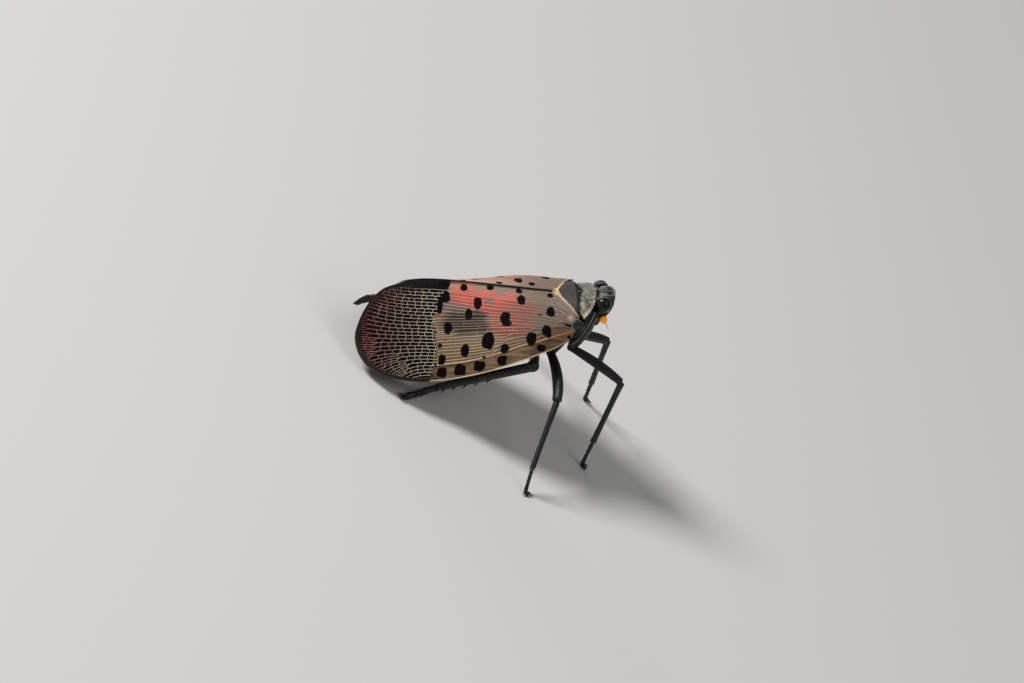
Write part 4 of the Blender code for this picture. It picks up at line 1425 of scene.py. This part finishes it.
def make_collar():
    v, u = np.meshgrid(np.linspace(0, 1, 46), np.linspace(-1, 1, 150), indexing="ij")
    y = COLLAR_HALF_WIDTH * u
    front = 1.48 - 0.075 * y**2 - 0.0115 * y**4
    rear = -0.22 + 0.49 * np.abs(u) ** 6 + 0.25 * hump(y, 0.5) - 0.18 * hump(np.abs(u) - 0.72, 0.2)
    rim = np.minimum(np.minimum(v, 1 - v) * (front - rear), (1 - np.abs(u)) * COLLAR_HALF_WIDTH)
    keel = 0.09 * hump(y, 0.09) + 0.05 * hump(np.abs(y) - 1.0, 0.12)
    bead = 0.05 * hump(rim, 0.07) - 0.06 * smooth_step(0.08, 0.3, rim)
    normal = np.stack([0 * y, 0.38 * y, 1 + 0 * y], axis=-1)
    normal /= np.linalg.norm(normal, axis=-1, keepdims=True)
    flat = np.stack([front + (rear - front) * v, y, 1.86 - 0.12 * v - 0.19 * y**2], axis=-1)
    rough = wrinkles(flat.reshape(-1, 3), 9.0, 0.022, COLLAR_SEED).reshape(y.shape)
    relief = keel + bead + rough * smooth_step(0, 0.2, rim)
    outer = flat + normal * relief[..., None]
    return slab(outer, flat - normal * COLLAR_THICKNESS, place=columns(y, v, rim))


def make_collar_material():
    recipe = Recipe("collar_shell", 0.6)
    ramp, noise = recipe.ramp, recipe.noise
    y, v, rim = recipe.read("place")
    mottled = noise(3.4, 4.0)
    front = ramp(rim + mottled * 0.08, 0.17, 0.09) * ramp(v, 0.6, 0.3)
    rear = ramp(v, 0.5, 0.7)
    colour = recipe.layers(
        recipe.mix(ramp(mottled, 0.3, 0.7), (84, 80, 72), (138, 132, 118)),
        (ramp(noise(1.3, 3.0), 0.55, 0.66) * 0.8, (190, 176, 150)),
        (ramp(noise(2.1), 0.5, 0.36) * 0.5, (62, 57, 52)),
        (ramp(y * y, 3.4, 4.8) * ramp(v, 0.5, 0.2) * 0.6, (186, 180, 170)),
        (front * 0.6, (44, 38, 34)),
        (ramp(rim, 0.27, 0.22) * ramp(y * y, 1.0, 2.4) * rear, (158, 152, 144)),
        # A dark line along the rear edge: partly the collar's dark rim, partly painted shade of the gap
        # before the shield.
        (ramp(rim, 0.17, 0.13) * rear, (20, 17, 16)),
    )
    return recipe.paint(colour, noise(9.0, 4.0), 0.08)


add_piece("collar_plate", make_collar(), make_collar_material(), "collar", ["pronotum"])

# %% The shield
SHIELD_ROWS = (0.15, 2.62)
SHIELD_THICKNESS = 0.3


def make_shield():
    t, u = np.meshgrid(np.linspace(*SHIELD_ROWS, 70), np.linspace(-1, 1, 91), indexing="ij")
    k = np.clip((SHIELD_ENDS + 0.12 - t) / (SHIELD_ENDS - WING_ROOT), 0, 1)
    half = np.maximum(SHIELD_HALF_WIDTH * k**0.8 - 0.22, 0.05)
    s = np.abs(u) * half
    rim = half - s
    dome = 0.3 * (1 - np.clip(t / 2.3, 0, 1)) * (1 - u**2) + 0.1 * smooth_step(0, 0.35, rim)
    keel = 0.03 * hump(s, 0.05) + 0.02 * hump(s - 0.9 + 0.2 * t, 0.05)
    tucked = 0.12 * (1 - smooth_step(0.15, 0.45, t))
    lift = dome + keel - 0.04 - 0.5 * shoulder(t, s) - tucked
    outer, normal = roof(t, s, np.where(u < 0, -1, 1), lift)
    return slab(outer, outer - normal * SHIELD_THICKNESS, place=columns(t, s, rim))


def make_shield_material():
    recipe = Recipe("shield_shell", 0.5)
    ramp, mix = recipe.ramp, recipe.mix
    t, s, rim = recipe.read("place")
    cloudy = recipe.noise(1.4, 3.0)
    from_edge = rim + cloudy * 0.03
    yellow = mix(ramp(recipe.noise(3.6, 3.0), 0.4, 0.6), (166, 128, 70), (226, 186, 120))
    colour = recipe.layers(
        mix(cloudy, (37, 32, 31), (61, 55, 52)),
        # Painted contact shade: a dark band just inside the cream edge, where the wings' edges meet the
        # shield.
        (ramp(from_edge, 0.50, 0.46), (30, 25, 25)),
        (ramp(from_edge, 0.44, 0.40), mix(ramp(t, 1.0, 1.8), (214, 190, 172), yellow)),
        (ramp(t + cloudy * 0.3 + s * 0.35, 2.12, 2.28), yellow),
    )
    return recipe.paint(colour, recipe.noise(6.0, 3.0), 0.015)


add_piece("shield_plate", make_shield(), make_shield_material(), "shield", ["mesonotum"])

# %% Scales over the wing hinges
DARK, FAINT, PALE = (0, 0, 0), (0.6, 0, 0), (1, 0, 0)
KNOB = np.array((-0.42, -3.12, 0.0))
HINGE_RING = (np.array((0.979, -0.0947, 0.1806)), 1.25 * np.array((-0.0805, 0.633, 0.774)))


def make_scale(side):
    """A dark scale over the hinge with a knob on it and a pale open ring round the knob."""
    points, faces = ball((0, 0, 0), (0.40, 0.34, 0.50), 40, 24)
    points = points * (1 + 0.05 * np.cos(points[:, 0:1] * 9)) + mirror((0.24, -2.5, -0.55), side)
    shape = Shape().add(points, faces, pale=DARK)
    shape.add(*ball(mirror(KNOB, side), (0.42, 0.24, 0.48), 32, 20), pale=DARK)
    turns = np.linspace(math.radians(35), math.radians(215), 30)[:, None]
    loop = np.cos(turns) * HINGE_RING[0] + np.sin(turns) * HINGE_RING[1]
    loop = KNOB + (0, -0.2, 0.16) + 0.42 * loop
    return shape.add(*tube(mirror(loop, side), 0.04, 10), pale=PALE)


def make_edged_material(name, dark, light, pale):
    """A black shell whose marked parts are pale."""
    recipe = Recipe(name, 0.45)
    edge = recipe.mix(recipe.noise(4.0), light, pale)
    colour = recipe.mix(recipe.read("pale")[0], shell_black(recipe, dark, light), edge)
    return recipe.paint(colour, recipe.noise(7.0, 4.0), 0.04)


scale_finish = make_edged_material("scale_shell", (18, 17, 17), (56, 54, 52), (176, 168, 158))
add_pairs(("tegula_*_scale", make_scale, scale_finish, "shield", "tegula_*"))

# %% Side plates of the front thorax
PLEURON = ((1.10, -1.35, 0.75), (0.85, -1.62, -0.3), (0.52, -1.66, -1.4), (0.10, -1.50, -2.7))
COXA_PLATE = (
    (1.6, -1.52, 0.25), (1.28, -1.74, -0.7), (0.95, -1.78, -1.7), (0.55, -1.58, -3.0), (0.1, -1.22, -4.0),
)
PLATES = ((PLEURON, (0.45, 0.62, 0.62, 0.4)), (COXA_PLATE, (0.34, 0.46, 0.48, 0.42, 0.32)))
REAR_SEAM = (
    (1.40, -1.95, 0.72), (1.06, -2.20, -0.3), (0.82, -2.24, -1.15), (0.40, -2.02, -2.5),
    (-0.05, -1.6, -3.6),
)
FRONT_SEAM = ((1.62, -1.86, 0.1), (1.36, -2.14, -0.7), (1.06, -2.22, -1.6), (0.66, -1.96, -2.9))
SEAMS = ((REAR_SEAM, 0.055, 0.015, 9, PALE), (FRONT_SEAM, 0.04, 0.01, 7, FAINT))


def profile(widths, shares):
    """The width at each share of the way, for widths given at even steps."""
    return np.interp(shares, np.linspace(0, 1, len(widths)), widths)


def make_side_plates(side):
    """Two dark plates that carry the fore leg, with a pale seam and a fainter one before it."""
    shape = Shape()
    shares = np.linspace(0, 1, 40)
    ends = np.sqrt(np.clip(1 - np.abs(2 * shares - 1) ** 12, 0.02, 1))
    for route, widths in PLATES:
        line = curve_through(mirror(route, side), 40)
        shape.add(*tube(line, profile(widths, shares) * ends, 28, flat=0.85, ridges=0.06), pale=DARK)
    for route, width, swell, waves, pale in SEAMS:
        line = curve_through(mirror(route, side), 40)
        shape.add(*tube(line, width + swell * np.sin(np.linspace(0, waves, 40)), 10), pale=pale)
    return shape


plate_finish = make_edged_material("side_plates", (12, 11, 11), (38, 35, 34), (200, 194, 184))
add_pairs(("side_plates_*", make_side_plates, plate_finish, "shell_black"))

# %% [markdown]
# ## Legs
#
# A leg is a chain: hip, a keeled thigh that bows outwards, a straight shin, and a foot of three
# joints that ends in a pad between two claws. Each link is a tube whose width follows a profile,
# pinched at both ends where it meets the next. The hind shin carries spines along its outer edge
# and a crown of teeth at its end, which the insect pushes off with.

# %% Joints and widths of the legs
# Hip, trochanter, knee and ankle, and where on the floor the foot stands.
LEGS = {
    "fore_right": (
        (1.3, -1.4, -1.0), (0.1, -1.1, -4.3), (5.0, -3.8, -5.9), (3.54, -4.37, -12.92), (2.95, -4.6),
    ),
    "fore_left": (
        (1.3, 1.4, -1.0), (0.1, 1.1, -4.3), (4.7, 3.6, -6.9), (4.56, 5.3, -13.6), (4.5, 6.0),
    ),
    "mid_right": (
        (-1.0, -1.7, -2.8), (-2.0, -2.3, -4.15), (-1.54, -7.17, -6.12), (-3.4, -11.32, -10.93),
        (-3.8, -12.4),
    ),
    "hind_right": (
        (-2.6, -1.1, -3.0), (-3.3, -1.0, -5.0), (-3.98, -5.2, -3.65), (-12.55, -4.5, -7.7), (-15.52, -5.78),
    ),
}
for pair in ("mid", "hind"):
    LEGS[pair + "_left"] = tuple((x, -y, *z) for x, y, *z in LEGS[pair + "_right"])
COXA = {"fore": (0.5, 0.62, 0.58, 0.42), "mid": (0.5, 0.55, 0.5, 0.42), "hind": (0.6, 0.6, 0.55, 0.45)}
FEMUR = {
    "fore": (0.36, 0.46, 0.5, 0.47, 0.38),
    "mid": (0.42, 0.52, 0.56, 0.54, 0.48),
    "hind": (0.4, 0.5, 0.52, 0.48, 0.42),
}
TIBIA = {
    "fore": (0.32, 0.27, 0.26, 0.28),
    "mid": (0.33, 0.28, 0.26, 0.28),
    "hind": (0.50, 0.46, 0.42, 0.38),
}
STRAIGHT = (0, 0, 0)
FEMUR_BOW = {"fore": (0.1, 0, 0.14), "mid": (0.34, 0, 0.05), "hind": (0, 0, 0.15)}
TARSUS_WIDTH = {"fore": 0.22, "mid": 0.22, "hind": 0.4}
SHORT_TARSUS = ((0.0, 0.3), (0.28, 0.48), (0.46, 1.0))
LONG_TARSUS = ((0.0, 0.46), (0.44, 0.64), (0.62, 1.0))
TARSUS_LINKS = {"fore": SHORT_TARSUS, "mid": SHORT_TARSUS, "hind": LONG_TARSUS}
FOOT_HEIGHT = 0.2
print(len(LEGS), "legs to build")


# %% Links and feet
def bowed(bow, share):
    """How far a link stands out at a share of its length: most in its middle."""
    return np.asarray(bow) * (4 * share * (1 - share))


def link(shape, start, end, widths, bow=STRAIGHT, ridges=0.0, over=0.1, flare=0.0):
    """One closed link of a leg, pinched at both ends and run a little past its joints."""
    length = np.linalg.norm(end - start)
    along = np.linspace(-over, length + over, 44)
    share = np.clip(along / length, 0, 1)
    route = start + unit(end - start) * along[:, None] + bowed(bow, share[:, None])
    from_end = np.minimum(along + over, length + over - along)
    pinch = np.sqrt(np.clip(1 - (1 - np.clip(from_end / 0.34, 0, 1)) ** 2, 0.02, 1))
    swell = 1 + flare * hump(along - length, 0.3) + 0.5 * flare * hump(along, 0.25)
    shape.add(*tube(route, profile(widths, share) * pinch * swell, 20, flat=0.9, ridges=ridges))


def foot_frame(ankle, foot):
    """The directions ahead, across and up at a foot."""
    axis = Vector(foot - ankle).normalized()
    onward = (axis - FLOOR_UP * axis.dot(FLOOR_UP)).normalized()
    return [np.array(direction) for direction in (onward, FLOOR_UP.cross(onward), FLOOR_UP)]


def make_foot(shape, pair, ankle, foot):
    """Three links with a thorn on each side of the first two, then a pad between two claws."""
    onward, sideways, upward = foot_frame(ankle, foot)
    width = TARSUS_WIDTH[pair]
    for start, end in TARSUS_LINKS[pair]:
        first, last = ankle + (foot - ankle) * start, ankle + (foot - ankle) * end
        link(shape, first, last, (width * 0.72, width * 0.86, width), over=0.04, flare=0.12)
        if end < 1:
            for way in (-1, 1):
                root = last + sideways * way * width * 0.6
                tip = root + unit(last - first) * width * 0.9 + sideways * way * width * 0.5
                shape.add(*spike(root, tip - upward * width * 0.3, width * 0.3))
    turn = np.column_stack([onward, sideways, upward])
    shape.add(*ball(foot + onward * 0.2 - upward * 0.02, (0.36, 0.26, 0.16), 24, 14, turn))
    shape.add(*ball(foot + onward * 0.42 - upward * 0.06, (0.2, 0.24, 0.1), 20, 12, turn))
    for way in (-1, 1):
        root = foot + onward * 0.12 + sideways * way * 0.1 + upward * 0.03
        tip = foot + onward * 0.66 + sideways * way * 0.55 - upward * 0.15
        shape.add(*spike(root, tip, 0.105, bend=upward * 0.1 + sideways * way * 0.07, sides=8, steps=8))


print("links and feet are ready")

# %% Spines, hairs and the crown of teeth
TIBIA_SPINES = (0.44, 0.56, 0.68, 0.79, 0.9)
SPINE_LENGTH = 0.85
HAIRS_PER_MM = 9
HAIR_LENGTH = 0.17


def across_axis(axis, hint):
    """Two directions across an axis and each other."""
    first = unit(np.cross(axis, hint))
    return first, np.cross(axis, first)


def add_spines(shape, knee, ankle):
    axis = unit(ankle - knee)
    out = np.array((0, 0.55 * np.sign(knee[1]), -1))
    out = unit(out - axis * (out @ axis))
    reach = (out * 0.6 + axis * 0.8) * SPINE_LENGTH
    for share in TIBIA_SPINES:
        root = knee + (ankle - knee) * share + out * 0.12
        shape.add(*spike(root, root + reach, 0.14, bend=out * 0.06, sides=10, steps=7))


def add_hairs(shape, start, end, widths, bow, order):
    """Short stiff hairs that lean towards the foot all round one link of a leg."""
    length = np.linalg.norm(end - start)
    axis = unit(end - start)
    first, second = across_axis(axis, (0.3, 0.2, 1.0))
    for _ in range(int(length * HAIRS_PER_MM)):
        share, turn = order.uniform(0.06, 0.94), order.uniform(0, 2 * math.pi)
        out = first * math.cos(turn) + second * math.sin(turn)
        root = start + axis * share * length + bowed(bow, share) + out * (profile(widths, share) * 0.9)
        tip = root + (axis * 0.8 + out * 0.6) * HAIR_LENGTH * order.uniform(0.7, 1.2)
        shape.add(*spike(root - out * 0.05, tip, 0.022, sides=3, steps=2))


def add_crown(shape, knee, ankle, width, count):
    """Teeth round the lower end of a shin."""
    axis = unit(ankle - knee)
    first, second = across_axis(axis, (0, 0, 1))
    for k in range(count):
        turn = 2 * math.pi * (k + 0.5) / count
        out = first * math.cos(turn) + second * math.sin(turn)
        root = ankle - axis * 0.12 + out * width * 0.72
        shape.add(*spike(root, root + axis * 0.3 + out * 0.12, 0.07))


print(len(TIBIA_SPINES), "spines on each hind shin")


# %% The six legs
def make_leg(name, joints):
    pair = name.split("_")[0]
    hip, trochanter, knee, ankle = (np.array(joint) for joint in joints[:4])
    foot = np.array(on_floor(*joints[4], height=FOOT_HEIGHT))
    shape = Shape()
    link(shape, hip, trochanter, COXA[pair], over=0.05, ridges=0.04)
    shape.add(*ball(trochanter, np.full(3, FEMUR[pair][0] * 1.02), 24, 14))
    link(shape, trochanter, knee, FEMUR[pair], FEMUR_BOW[pair], ridges=0.1, over=0.06, flare=0.06)
    link(shape, knee, ankle, TIBIA[pair], ridges=0.12, flare=0.12)
    order = random.Random(len(name) + pair.count("i"))
    add_hairs(shape, trochanter, knee, FEMUR[pair], FEMUR_BOW[pair], order)
    add_hairs(shape, knee, ankle, TIBIA[pair], STRAIGHT, order)
    if pair == "hind":
        add_spines(shape, knee, ankle)
        shape.add(*ball(knee - (0.12, 0, 0), (0.62, 0.52, 0.58), 28, 18))
    add_crown(shape, knee, ankle, TIBIA[pair][-1], 8 if pair == "hind" else 4)
    make_foot(shape, pair, ankle, foot)
    return shape


leg_finish = make_shell_material("leg_shell", (8, 7, 7), (38, 35, 32), 0.46, 6.0, 0.05)
for name, joints in LEGS.items():
    nodes = [f"{name}_{part}" for part in ("coxa", "femur", "tibia", "tarsus")]
    add_piece("leg_" + name, make_leg(name, joints), leg_finish, "leg", nodes)
